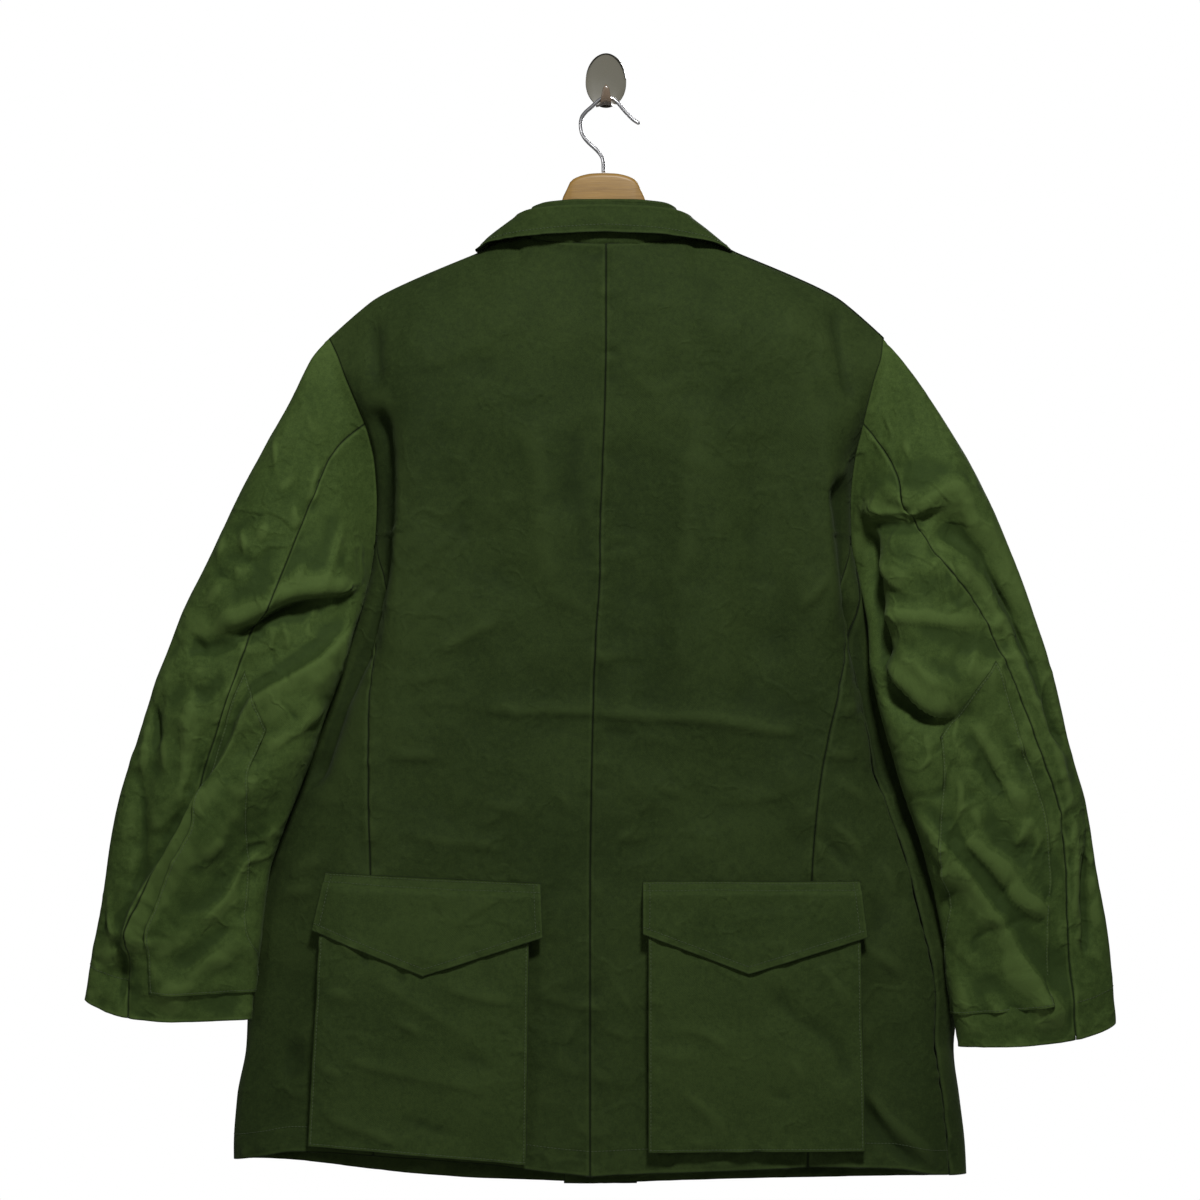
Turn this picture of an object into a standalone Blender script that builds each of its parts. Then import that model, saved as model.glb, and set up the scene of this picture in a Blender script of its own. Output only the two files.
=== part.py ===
"""An army field jacket of green cotton, hung back to front on a wooden hanger from a stick-on wall hook.

The jacket is worn-in cloth: every panel is a thin wall, cut along the garment's real seams, with a
hairline gap where two panels are sewn together. The body is an open tube from hem to armholes, each
sleeve is an open tube from armhole to cuff, and the back carries two bellows pockets with pointed flaps.

Lengths in the tables are millimetres, measured from the middle of the wall hook's back:
    across   to the right, looking at the jacket's back
    down     towards the hem
    out      away from the wall, towards someone who looks at the jacket
Blender's axes are across = +X, out = -Y and down = -Z.
"""

import math

import bmesh
import bpy
import numpy as np

MM = 0.001

# Cloth and seams
CLOTH = 1.6
PATCH_CLOTH = 1.2
SEAM_GAP = 0.36
LYING_GAP = 0.55

# Main levels and places of the jacket
UNDERARM_DOWN = 436.0
SHOULDER_TIP = {"left": -245.0, "right": 245.0}
TIP_DOWN = 230.0
RIDGE_OUT = 22.0
NECK_HALF_WIDTH = 76.0
NECK_BACK_OUT = 54.0
NECK_FRONT_OUT = 11.0
SHOULDER_FOLD = 6.0
BACK_DROP = 80.0
FRONT_DROP = 30.0
CROWDING = 1.6
LAP = 20.0
LAP_STEP = 2.3
LAP_EASE = 60.0
FRONT_CENTRE = -5.0
CENTRE_DRIFT = 200.0
FRONT_RUN = 40.0
ARM_STEPS = 12
FRONT_REACHES = (1, 0.97, 0.9, 0.78, 0.62, 0.46, 0.34, 0.25, 0.16, 0.08, 0, -0.1)
BODY_STEPS = 14

# The body's side edge at each level: the armhole seam above the underarm, the folded side below it.
# back_out and front_out are the edge's own distance from the wall on either side of the seam,
# fold is the small radius that the cloth turns in, and run is how far its rise then takes.
EDGE_COLUMNS = ("down", "left", "right", "back_out", "front_out", "fold", "run")
EDGE = (
    (230, -245, 245, 22, 22, 2, 90),
    (246, -237, 243, 34, 20, 2, 85),
    (264, -230, 237, 46, 18, 2, 75),
    (290, -219, 230, 50, 16, 2, 60),
    (312, -210, 225, 46, 15, 2, 42),
    (339, -204, 219, 38, 15, 2, 28),
    (374, -202, 216, 31, 16, 2, 22),
    (409, -204, 217, 26, 19, 3, 22),
    (436, -208, 222, 24, 24, 6, 26),
    (462, -216, 229, 22, 22, 8, 34),
    (497, -228, 234, 20, 20, 8, 50),
    (550, -249, 247, 18, 18, 8, 66),
    (603, -270, 263, 18, 18, 8, 80),
    (638, -284, 275, 18, 18, 8, 88),
    (726, -310, 300, 18, 18, 8, 92),
    (814, -317, 311, 18, 18, 8, 86),
    (858, -319, 307, 18, 18, 8, 76),
    (902, -327, 312, 18, 18, 8, 70),
    (946, -330, 317, 18, 18, 8, 64),
    (985, -329, 319, 18, 18, 8, 60),
)

# The body's cloth away from its edges, and the run of its seams.
BODY_COLUMNS = ("down", "back_out", "front_out", "back_seam", "left_seam", "right_seam", "right_side")
BODY = (
    (140, 64, 12, 0, -201, 215, 0),
    (231, 73, 12, 0, -201, 215, 0),
    (350, 77, 12, -3, -201, 215, 0),
    (412, 76, 11, -5, -203, 216, 0),
    (436, 76, 11, -5, -203, 216, 1),
    (497, 75, 10, -9, -207, 214, 9),
    (550, 74, 10, -11, -208, 203, 18),
    (638, 71, 9, -13, -208, 186, 28),
    (726, 69, 9, -14, -206, 180, 28),
    (814, 67, 9, -14, -205, 179, 20),
    (902, 65, 9, -14, -204, 178, 16),
    (985, 63, 9, -14, -204, 177, 13),
)

# The top of the back and of the front: the neckline, and from its corner on the shoulder ridge.
TOP_COLUMNS = ("across", "back", "front")
TOP = (
    (0, 148, 176),
    (20, 147.6, 173.5),
    (36, 147, 169),
    (60, 144.5, 156),
    (76, 138.8, 138.8),
    (117, 156, 156),
    (138, 164.6, 164.6),
    (165, 176, 176),
    (191, 188, 188),
    (205, 195.8, 195.8),
    (218, 206, 206),
    (231, 217.3, 217.3),
    (245, 230, 230),
)

# Both hems, by how far out they are: 0 at the middle, 1 at the edge.
HEM_COLUMNS = ("reach", "left_back", "left_front", "right_back", "right_front")
HEM = (
    (0.0, 968, 979.8, 968, 979.8),
    (0.12, 964, 977.4, 966, 978.2),
    (0.3, 957, 975.2, 964, 976.6),
    (0.46, 953, 972.6, 962, 975.2),
    (0.6, 950, 968.2, 960, 974.2),
    (0.82, 946, 959.4, 962, 973),
    (0.92, 952, 957.4, 968, 972.6),
    (1.0, 957, 957, 970, 970),
)

# Each sleeve, section by section from the armhole to the cuff: its outer and its inner corner, the
# middle of its thickness and half of its thickness.
SLEEVE_COLUMNS = ("outer_across", "outer_down", "inner_across", "inner_down", "middle_out", "half_depth")
SLEEVE_LEFT = (
    (-245, 230, -208, 436, 23, 14),
    (-259, 247, -213, 452, 34, 20),
    (-278, 286, -217, 471, 40, 27),
    (-302, 330, -223, 493, 46, 32),
    (-325, 374, -229, 517, 51, 34),
    (-347, 422, -238, 541, 55, 34),
    (-373, 475, -248, 569, 57, 33),
    (-395, 532, -260, 604, 58, 32),
    (-412, 585, -273, 638, 57, 31),
    (-428, 638, -285, 669, 55, 30),
    (-437, 682, -295, 700, 53, 28),
    (-444, 730, -301, 739, 50, 26),
    (-452, 770, -306, 779, 48, 24),
    (-460, 814, -312, 831, 46, 22),
)
SLEEVE_RIGHT = (
    (245, 230, 222, 436, 23, 14),
    (259, 247, 227, 451, 34, 20),
    (278, 273, 229, 468, 40, 27),
    (298, 304, 231, 490, 46, 32),
    (319, 339, 231, 515, 51, 34),
    (338, 378, 236, 543, 55, 34),
    (357, 422, 244, 572, 57, 33),
    (376, 473, 253, 603, 58, 32),
    (393, 530, 263, 636, 57, 31),
    (407, 587, 275, 671, 55, 30),
    (421, 638, 285, 708, 53, 28),
    (432, 704, 294, 748, 50, 26),
    (443, 766, 302, 796, 48, 24),
    (449, 834, 310, 855, 46, 22),
)
LAST_SECTION = len(SLEEVE_LEFT) - 1
SLEEVE_ROWS = 26
ARMHOLE_EASE = 1.6
SLEEVE_FULLNESS = 0.8
UNDERARM_SEAM_ANGLE = 225.0

# The sleeve's back seam at some sections, as an angle round the sleeve from its outer corner.
BACK_SEAM_COLUMNS = ("section", "left", "right")
BACK_SEAM = (
    (0, 75, 75),
    (2, 80, 82),
    (3, 82, 84),
    (4, 83, 80),
    (5, 83, 74),
    (6, 82, 65),
    (7, 83, 60),
    (8, 84, 56),
    (9, 86, 51),
    (9.6, 81, 49),
    (10.6, 65, 51),
    (11.4, 55, 58),
    (12, 56, 61),
    (13, 62, 62),
)
# The elbow patch runs from the back seam to this angle, and from a slanting top down to the cuff's hem.
PATCH_EDGE_COLUMNS = ("section", "left", "right")
PATCH_EDGE = (
    (0, 135, 135),
    (5, 120, 124),
    (6.8, 115, 116),
    (7.6, 120, 121),
    (8.7, 133, 140),
    (9.5, 142, 147),
    (10.3, 143, 150),
    (11, 152, 168),
    (11.5, 172, 181),
    (12, 188, 190),
    (13, 200, 200),
)
PATCH_ROWS = {"left": (12, 25), "right": (14, 25)}
PATCH_COLUMNS = 4
PATCH_SLANT = {"left": 0.8, "right": 0.4}
CUFF_BOW = {"left": 11.5, "right": 8.5}

# The folded collar from the middle of the back (0) to its front end (1).
COLLAR_COLUMNS = (
    "place",
    "neck_across", "neck_down", "neck_out",
    "fold_across", "fold_down", "fold_out",
    "edge_across", "edge_down", "edge_out",
)
COLLAR = (
    (0.0, 0, 147.5, 54.0, 0, 111, 47.0, 0, 136, 80.0),
    (0.15, 26, 147, 51.6, 24, 111, 45.5, 38, 137, 79.5),
    (0.3, 50, 145, 43.6, 43, 112, 40.5, 74, 140, 71.0),
    (0.42, 68, 141, 35.6, 54, 113, 33.0, 98, 143, 56.0),
    (0.5, 76.5, 137.5, 22.0, 60, 115, 23.0, 113, 148, 35.0),
    (0.55, 74, 139, 17.6, 59, 117, 18.5, 114, 149, 18.0),
    (0.6, 68, 144, 15.4, 56, 119, 15.6, 109, 156, 8.8),
    (0.7, 53, 158, 13.2, 47, 126, 13.0, 96, 174, 6.4),
    (0.85, 28, 171.5, 11.4, 26, 140, 11.4, 70, 202, 5.2),
    (1.0, 6, 175.5, 11.0, 8, 150, 11.0, 44, 228, 4.4),
)
COLLAR_STEPS = 32
COLLAR_SHIFT = -1.5
FALL_BELLY = 1.6
COLLAR_CLOTH = 1.4
FALL_RISE = 2.3
STAND_DROP = 1.8

# Bellows pockets on the back: the corners of the front piece, and how far it stands off.
POCKET_COLUMNS = ("across", "down")
POCKETS = {
    "left": ((-249, 722), (-67, 728), (-70, 957), (-261, 940)),
    "right": ((37, 725), (222, 725), (227, 945), (37, 946)),
}
POCKET_CORNER = 9.0
POCKET_MOUTH_STAND = 10.0
POCKET_STAND = 14.0
POCKET_STEPS = 8
FLAPS = {
    "left": ((-246, 701), (-57, 710), (-55, 757), (-160, 791), (-258, 751)),
    "right": ((32, 708), (223, 708), (229, 757), (125, 789), (32, 754)),
}
FLAP_CLEARS = 4.0
FLAP_EASE = 0.4

# Front buttons
BUTTON_RADIUS = 10.5
BUTTON_THICKNESS = 2.8
BUTTON_DOWNS = (268, 398, 528, 658, 788)

# The wooden hanger, from its middle to the end of an arm.
HANGER_COLUMNS = ("across", "top", "bottom", "half_thickness")
HANGER = (
    (0, 83.9, 178, 5.5),
    (10, 84.3, 178, 5.5),
    (18, 85.7, 178, 5.5),
    (26.5, 89.0, 178, 5.5),
    (30.2, 92.5, 178.3, 5.5),
    (32, 97, 178.6, 5.5),
    (35.2, 103, 179, 5.5),
    (40, 118, 180.5, 5.5),
    (47, 137, 182, 5.5),
    (58, 149.5, 184, 5.5),
    (74, 155.0, 188, 5.0),
    (95, 157.5, 193, 4.5),
    (117, 161.2, 198, 4.5),
    (138, 169.4, 203, 4.5),
    (165, 181.0, 210, 4.5),
    (190, 192.6, 217, 4.0),
    (197, 198.4, 215, 2.8),
)
HANGER_PLACES = (197, 190, 178, 165, 151, 138, 117, 95, 74, 58, 47, 40, 35.2, 32, 30.2, 26.5, 18, 10, 0)
HANGER_MIDDLE_ACROSS = -2.0
HANGER_MIDDLE_OUT = 22.2

# The hanger's wire hook, from the wood over the wall hook to its turned tip: (across, down).
WIRE_RADIUS = 1.75
WIRE_OUT = 22.0
WIRE_ROUTE = (
    (-2.2, 83.4), (-2.2, 77.0), (-2.9, 71.5), (-5.6, 66.6), (-10.0, 61.9), (-15.2, 57.2), (-19.4, 52.2),
    (-21.8, 46.5), (-22.4, 40.5), (-21.4, 34.8), (-18.2, 30.2), (-12.6, 25.2), (-7.6, 20.6), (-3.2, 17.8),
    (1.4, 17.0), (6.0, 18.2), (10.2, 21.4), (13.8, 25.6), (17.4, 29.8), (20.8, 33.4), (25.2, 37.4),
    (30.2, 40.4),
)
WIRE_POINTS = 48
WIRE_SEAT = 0.3

# The stick-on wall hook: an oval plate and a prong that curls up in front of it.
PLATE_HALF_WIDTH = 18.0
PLATE_HALF_HEIGHT = 24.2
PLATE_THICKNESS = 3.6
PRONG_COLUMNS = ("step", "out", "down", "half_width")
PRONG = (
    (0, 2.6, 20.4, 9.0),
    (1, 8.0, 20.7, 8.0),
    (2, 16.0, 20.9, 6.6),
    (3, 22.6, 20.9, 5.6),
    (4, 27.0, 19.2, 5.0),
    (5, 28.8, 14.8, 4.2),
    (6, 29.4, 10.0, 3.2),
    (7, 29.0, 6.0, 2.2),
)
PRONG_THICKNESS = 3.6
PRONG_CROWN = 2.6

# The largest folds, each a soft ridge (+) or trough (-) along a bowed line over the cloth.
FOLD_COLUMNS = ("from_across", "from_down", "to_across", "to_down", "bow", "width", "height")
BODY_FOLDS = (
    (-95, 240, -30, 500, -12, 40, 5.0),
    (112, 215, 84, 560, 8, 34, 6.0),
    (30, 300, 34, 590, 0, 34, -4.5),
    (150, 290, 145, 560, 6, 30, -5.5),
    (188, 300, 176, 520, 4, 22, 4.0),
    (-176, 230, -158, 470, -5, 24, 4.5),
    (-140, 330, -128, 620, 0, 30, -3.5),
    (60, 640, 20, 700, 6, 26, -3.0),
    (-240, 640, -286, 900, 10, 24, -4.5),
    (262, 700, 282, 930, -8, 22, 4.0),
    (240, 780, 292, 955, 10, 24, -5.0),
)
LEFT_SLEEVE_FOLDS = (
    (-222, 470, -334, 560, 12, 16, -8.0),
    (-232, 520, -352, 650, -8, 20, 7.0),
    (-250, 590, -388, 745, 14, 20, 6.5),
    (-300, 585, -392, 710, 16, 15, -6.0),
    (-270, 650, -340, 740, 8, 18, -5.0),
    (-396, 560, -408, 700, 6, 14, -6.0),
    (-300, 260, -300, 400, -6, 20, 4.0),
)
RIGHT_SLEEVE_FOLDS = (
    (224, 388, 300, 392, -4, 13, -9.0),
    (228, 418, 330, 440, 4, 24, 8.0),
    (286, 392, 370, 560, -10, 16, -7.0),
    (236, 478, 330, 495, 0, 16, 4.0),
    (244, 540, 322, 570, 6, 13, -9.0),
    (250, 575, 400, 840, 12, 22, 7.0),
    (300, 660, 372, 800, 10, 20, -6.0),
    (400, 560, 436, 760, 6, 15, -6.0),
)
HIDDEN_FOLDS = (
    (-320, 430, -240, 560, 10, 20, -6.0),
    (-380, 560, -270, 640, -10, 20, 5.0),
    (-400, 650, -300, 730, 8, 18, -5.0),
    (320, 420, 240, 560, -10, 20, -6.0),
    (380, 560, 275, 650, 10, 20, 5.0),
    (415, 660, 300, 740, -8, 18, -5.0),
)
FOLD_PIECES = 8

COLOURS = {
    "cloth": (0.030, 0.052, 0.013, 1.0),
    "wood": (0.36, 0.24, 0.11, 1.0),
    "wire": (0.62, 0.62, 0.62, 1.0),
    "plastic": (0.17, 0.16, 0.13, 1.0),
    "button": (0.020, 0.030, 0.012, 1.0),
}
ROUGHNESS = {"cloth": 0.85, "wood": 0.45, "wire": 0.25, "plastic": 0.35, "button": 0.45}


# Reading the tables
def curve_through(stations, values):
    """A smooth curve through a column of a table that never swings past its values."""
    x = np.array(stations, float)
    y = np.array(values, float)
    step = np.diff(x)
    slope = np.diff(y) / step
    tangent = np.zeros_like(y)
    tangent[0] = slope[0]
    tangent[-1] = slope[-1]
    for i in range(1, len(x) - 1):
        if slope[i - 1] * slope[i] > 0:
            tangent[i] = 2 / (1 / slope[i - 1] + 1 / slope[i])

    def at(q):
        q = np.clip(q, x[0], x[-1])
        i = np.clip(np.searchsorted(x, q, side="right") - 1, 0, len(step) - 1)
        t = (q - x[i]) / step[i]
        start = (2 * t**3 - 3 * t**2 + 1) * y[i] + (t**3 - 2 * t**2 + t) * step[i] * tangent[i]
        end = (3 * t**2 - 2 * t**3) * y[i + 1] + (t**3 - t**2) * step[i] * tangent[i + 1]
        return start + end

    return at


def columns_of(table, names):
    """One curve for each named column, over the table's first column or over its row numbers."""
    rows = np.array(table, float)
    if names[0] in ("down", "reach", "section", "place", "step", "across"):
        return {name: curve_through(rows[:, 0], rows[:, i]) for i, name in enumerate(names) if i}
    return {name: curve_through(range(len(rows)), rows[:, i]) for i, name in enumerate(names)}


edge = columns_of(EDGE, EDGE_COLUMNS)
body = columns_of(BODY, BODY_COLUMNS)
top = columns_of(TOP, TOP_COLUMNS)
hem = columns_of(HEM, HEM_COLUMNS)
sleeves = {
    "left": columns_of(SLEEVE_LEFT, SLEEVE_COLUMNS),
    "right": columns_of(SLEEVE_RIGHT, SLEEVE_COLUMNS),
}
back_seam = columns_of(BACK_SEAM, BACK_SEAM_COLUMNS)
patch_edge = columns_of(PATCH_EDGE, PATCH_EDGE_COLUMNS)
collar = columns_of(COLLAR, COLLAR_COLUMNS)
hanger = columns_of(HANGER, HANGER_COLUMNS)
prong = columns_of(PRONG, PRONG_COLUMNS)


# The shape of the cloth
def blend(a, b, share):
    return a + (b - a) * share


def ease(q):
    """0 to 1 with a quick start and a gentle end."""
    return 1 - (1 - np.clip(q, 0, 1)) ** 2


def smooth(q):
    q = np.clip(q, 0, 1)
    return q * q * (3 - 2 * q)


def rise(distance, low, high, fold, run):
    """How far out cloth stands at a distance from its folded edge: a small round fold, then a long rise."""
    fold = np.minimum(fold, 0.5 * np.abs(high - low)) + 1e-6
    turn = np.sqrt(1 - (1 - np.clip(distance / fold, 0, 1)) ** 2)
    way = np.sign(high - low)
    return low + way * fold * turn + (high - low - way * fold) * ease(distance / run)


def folds_at(folds, across, down):
    """The height that a list of folds adds at each point."""
    total = np.zeros(np.broadcast(across, down).shape)
    for ax, ad, bx, bd, bow, width, height in folds:
        length = math.hypot(bx - ax, bd - ad)
        side = np.array((-(bd - ad), bx - ax)) / length
        nearest = np.full(total.shape, np.inf)
        along = np.zeros(total.shape)
        for piece in range(FOLD_PIECES):
            t0 = piece / FOLD_PIECES
            t1 = (piece + 1) / FOLD_PIECES
            ends = ((ax, bx, side[0]), (ad, bd, side[1]))
            p0 = [blend(a, b, t0) + s * bow * 4 * t0 * (1 - t0) for a, b, s in ends]
            p1 = [blend(a, b, t1) + s * bow * 4 * t1 * (1 - t1) for a, b, s in ends]
            run = (p1[0] - p0[0], p1[1] - p0[1])
            share = ((across - p0[0]) * run[0] + (down - p0[1]) * run[1]) / (run[0] ** 2 + run[1] ** 2)
            share = np.clip(share, 0, 1)
            distance = np.hypot(across - p0[0] - share * run[0], down - p0[1] - share * run[1])
            closer = distance < nearest
            nearest = np.where(closer, distance, nearest)
            along = np.where(closer, blend(t0, t1, share), along)
        ends = 0.35 + 0.65 * np.sin(np.pi * along)
        total = total + height * ends * np.exp(-((nearest / width) ** 2))
    return total


def edge_across(side, down):
    return edge[side](down)


def top_down(across, face):
    return top[face](np.abs(across))


def middle_across(down, face):
    """The back's middle seam, or the front's middle, which drifts off true below the shoulders."""
    if face == "back":
        return body["back_seam"](down)
    return FRONT_CENTRE * smooth((down - TIP_DOWN) / CENTRE_DRIFT)


def body_out(side, across, down, face):
    """The distance of the body's cloth from the wall at a place, on its back or front face."""
    neck = np.sqrt(np.clip(1 - (across / NECK_HALF_WIDTH) ** 2, 0, 1))
    neck_out = NECK_BACK_OUT if face == "back" else NECK_FRONT_OUT
    drop = BACK_DROP if face == "back" else FRONT_DROP
    top_out = RIDGE_OUT + (neck_out - RIDGE_OUT) * neck
    below = down - top_down(across, face)
    crest = rise(below, top_out, body[face + "_out"](down), SHOULDER_FOLD * (1 - neck), drop)
    inside = np.abs(edge_across(side, down) - across)
    run = edge["run"](down) if face == "back" else FRONT_RUN
    out = rise(inside, edge[face + "_out"](down), crest, edge["fold"](down), run)
    if face == "back":
        out = out + folds_at(BODY_FOLDS, across, down) * smooth(inside / 40) * smooth(below / 60)
    return out


def lap_step(side, across, face):
    """The right front lies under the left one, so it is set in a little near the buttons."""
    if side == "left" or face == "back":
        return 0.0
    return LAP_STEP * (1 - smooth((across - FRONT_CENTRE - LAP) / LAP_EASE))


def level_down(side, level):
    """The height of the body's edge at a level: 1 at the shoulder's tip, 0 at the underarm, -1 at the hem."""
    if level >= 0:
        return blend(UNDERARM_DOWN, TIP_DOWN, level)
    return blend(UNDERARM_DOWN, hem[side + "_back"](1.0), -level)


def body_point(side, s, level):
    """The body's cloth. s is 0 at the back's middle, 1 at the edge and 2 at the front's middle. level is
    from 0 at the underarm to 1 at neck and shoulder, or to -1 at the hem."""
    face = "back" if s <= 1 else "front"
    reach = 1 - abs(1 - s) ** CROWDING
    edge_down = level_down(side, level)
    if level >= 0:
        down = blend(UNDERARM_DOWN, top_down(SHOULDER_TIP[side] * max(reach, 0), face), level)
    else:
        down = blend(UNDERARM_DOWN, hem[side + "_" + face](max(reach, 0)), -level)
    middle = middle_across(down, face)
    across = middle + (edge_across(side, edge_down) - middle) * reach
    out = body_out(side, across, down, face) + lap_step(side, across, face)
    return np.array((float(across), float(out), float(down)))


def reach_to_s(side, across, level, face):
    """The s of a seam that runs at a given place across."""
    down = level_down(side, level)
    middle = middle_across(down, face)
    reach = min((across - middle) / (edge_across(side, down) - middle), 1.0)
    away = (1 - reach) ** (1 / CROWDING)
    return 1 - away if face == "back" else 1 + away


def sleeve_corner(table, name, section):
    return np.array((table[name + "_across"](section), table[name + "_down"](section)))


def sleeve_point(side, section, angle):
    """A sleeve's cloth. angle is 0 at its outer corner, 180 at its inner one, and the back lies between."""
    table = sleeves[side]
    section = min(max(section, 0.0), float(LAST_SECTION))
    turn = math.radians(angle)
    share = (1 - math.cos(turn)) / 2
    face = "back" if 0 <= angle <= 180 else "front"
    seam_down = blend(TIP_DOWN, UNDERARM_DOWN, share)
    armhole = np.array((edge_across(side, seam_down), seam_down))
    flat_armhole = blend(sleeve_corner(table, "outer", 0), sleeve_corner(table, "inner", 0), share)
    flat = blend(sleeve_corner(table, "outer", section), sleeve_corner(table, "inner", section), share)
    across, down = flat + (armhole - flat_armhole) * (1 - ease(section / 2))
    down += CUFF_BOW[side] * math.sin(math.pi * share**0.65) * smooth((section - 9) / 4)
    round_out = table["middle_out"](section)
    fullness = abs(math.sin(turn)) ** SLEEVE_FULLNESS * (1 if face == "back" else -1)
    round_out = round_out + table["half_depth"](section) * fullness
    out = blend(edge[face + "_out"](seam_down), round_out, ease(section / ARMHOLE_EASE))
    visible = LEFT_SLEEVE_FOLDS if side == "left" else RIGHT_SLEEVE_FOLDS
    folds = folds_at(visible if face == "back" else HIDDEN_FOLDS, across, down)
    facing = smooth(abs(math.sin(turn)) / 0.7) * smooth(section / 2)
    out = out + folds * facing * (1 if face == "back" else -0.7)
    return np.array((float(across), float(out), float(down)))


# Building walls
def world(points):
    """Table millimetres to Blender's metres."""
    points = np.asarray(points, float)
    return np.stack((points[..., 0], -points[..., 1], -points[..., 2]), axis=-1) * MM


def material(kind):
    made = bpy.data.materials.get(kind)
    if made is None:
        made = bpy.data.materials.new(kind)
        made.use_nodes = True
        shader = made.node_tree.nodes["Principled BSDF"]
        shader.inputs["Base Color"].default_value = COLOURS[kind]
        shader.inputs["Roughness"].default_value = ROUGHNESS[kind]
        shader.inputs["Metallic"].default_value = 1.0 if kind == "wire" else 0.0
    return made


jacket = bpy.data.collections.new("field_jacket")
cutters = bpy.data.collections.new("cutters")


def keep(name, mesh, kind):
    made = bpy.data.objects.new(name, mesh)
    mesh.materials.append(material(kind))
    jacket.objects.link(made)
    return made


def normals_of(surface, grid, limits):
    """Unit normals of a surface at each of a grid's pairs, from points a little to either side."""
    step = 0.004
    normals = np.zeros(grid.shape[:2] + (3,))
    for i in range(grid.shape[0]):
        for j in range(grid.shape[1]):
            u, v = grid[i, j]
            (u_low, u_high), (v_low, v_high) = limits(u, v)
            du = surface(min(u + step, u_high), v) - surface(max(u - step, u_low), v)
            dv = surface(u, min(v + step, v_high)) - surface(u, max(v - step, v_low))
            normal = np.cross(du, dv)
            normals[i, j] = normal / (np.linalg.norm(normal) + 1e-12)
    return normals


def unit(vectors):
    return vectors / (np.linalg.norm(vectors, axis=-1, keepdims=True) + 1e-12)


def squarely(border, within):
    """The way from a border's points into the cloth, square to the border."""
    along = unit(np.gradient(border, axis=0))
    way = within - border
    return unit(way - along * (way * along).sum(axis=-1, keepdims=True))


def drawn_in(points, amount, edges):
    """Pulls the named borders of a grid of points back by part of the seam's gap."""
    moved = points.copy()
    for name, (border, within) in {"first_row": (0, 1), "last_row": (-1, -2)}.items():
        if name in edges:
            moved[border] += squarely(points[border], points[within]) * amount
    for name, (border, within) in {"first_column": (0, 1), "last_column": (-1, -2)}.items():
        if name in edges:
            moved[:, border] += squarely(points[:, border], points[:, within]) * amount
    return moved


ALL_EDGES = ("first_row", "last_row", "first_column", "last_column")


def wall(name, outer, inner, kind="cloth"):
    """A closed wall of cloth between a grid of outer points and the grid of inner points behind it."""
    rows, columns = outer.shape[:2]
    mesh = bpy.data.meshes.new(name)
    bm = bmesh.new()
    bmesh.ops.create_grid(bm, x_segments=columns - 1, y_segments=rows - 1, size=1.0)
    place = bm.verts.layers.int.new("place")
    bm.verts.ensure_lookup_table()
    for i, vertex in enumerate(bm.verts):
        vertex[place] = i
    outside = world(outer).reshape(-1, 3)
    inside = world(inner).reshape(-1, 3)
    for vertex in bm.verts:
        vertex.co = outside[vertex[place]]
    made = bmesh.ops.extrude_face_region(bm, geom=bm.faces[:], use_keep_orig=True)
    for vertex in (v for v in made["geom"] if isinstance(v, bmesh.types.BMVert)):
        vertex.co = inside[vertex[place]]
    bmesh.ops.recalc_face_normals(bm, faces=bm.faces[:])
    bm.to_mesh(mesh)
    bm.free()
    mesh.shade_smooth()
    return keep(name, mesh, kind)


def facing(normals, points, hub):
    """Turns a grid of normals so that they point away from the cloth's hollow."""
    away = points - np.asarray(hub)
    return normals if (normals * away).sum() > 0 else -normals


def cloth(
    name, surface, grid, limits, hub, edges=ALL_EDGES, thickness=CLOTH, lift=0.0, ridge=False, inset=0.0
):
    """A panel of cloth over part of a surface. lift moves it out, as for a piece that lies on another,
    and inset moves its first column in. ridge says that its first row is a seam along a sharp fold,
    which its wall meets squarely."""
    points = np.array([[surface(u, v) for u, v in row] for row in grid])
    normals = facing(normals_of(surface, grid, limits), points, hub)
    if ridge:
        normals[0, :, 1] = 0.0
        normals[0] = unit(normals[0])
    for values in (points, normals):
        values[:, 0] = blend(values[:, 0], values[:, 1], inset)
    points = drawn_in(points + normals * lift, SEAM_GAP / 2, edges)
    return wall(name, points, points - normals * thickness)


# The body's panels
arm_levels = [(1 + math.cos(math.pi * j / ARM_STEPS)) / 2 for j in range(ARM_STEPS + 1)]
hem_levels = [-(k + 1) / BODY_STEPS for k in range(BODY_STEPS)]
SIDE_BACK_START = ARM_STEPS - 3


def body_limits(s, level):
    """Differences stop at the armhole and shoulder seams, but go round the folded side below them."""
    if level <= 0:
        return (0.0, 2.2), (-1.0, 0.0)
    return ((0.0, 1.0) if s <= 1 else (1.0 + 1e-6, 2.2)), (0.0, 1.0)


def back_panel_edge(side, level):
    """The panel seam that runs down from the armhole towards the pocket."""
    if level > arm_levels[SIDE_BACK_START] + 1e-6:
        return 1.0
    across = body[side + "_seam"](level_down(side, level))
    armhole = abs(edge_across(side, level_down(side, level))) - 1.2
    across = math.copysign(min(abs(across), armhole), across)
    return reach_to_s(side, across, level, "back")


def side_seam(side, level):
    """The side seam lies a little way round the fold: behind it on the left, before it on the right."""
    if level >= 0:
        return 1.0
    down = level_down(side, level)
    away = float(body["right_side"](down))
    face = "back" if side == "right" else "front"
    across = edge_across(side, down) - math.copysign(away, edge_across(side, down))
    return reach_to_s(side, across, level, face)


def panel_grid(levels, start, end, shares):
    return np.array([[(blend(start(v), end(v), share), v) for share in shares] for v in levels])


def evenly(steps):
    return [i / steps for i in range(steps + 1)]


def body_hub(side):
    return (-60.0 if side == "left" else 60.0, 38.0, 550.0)


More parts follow.
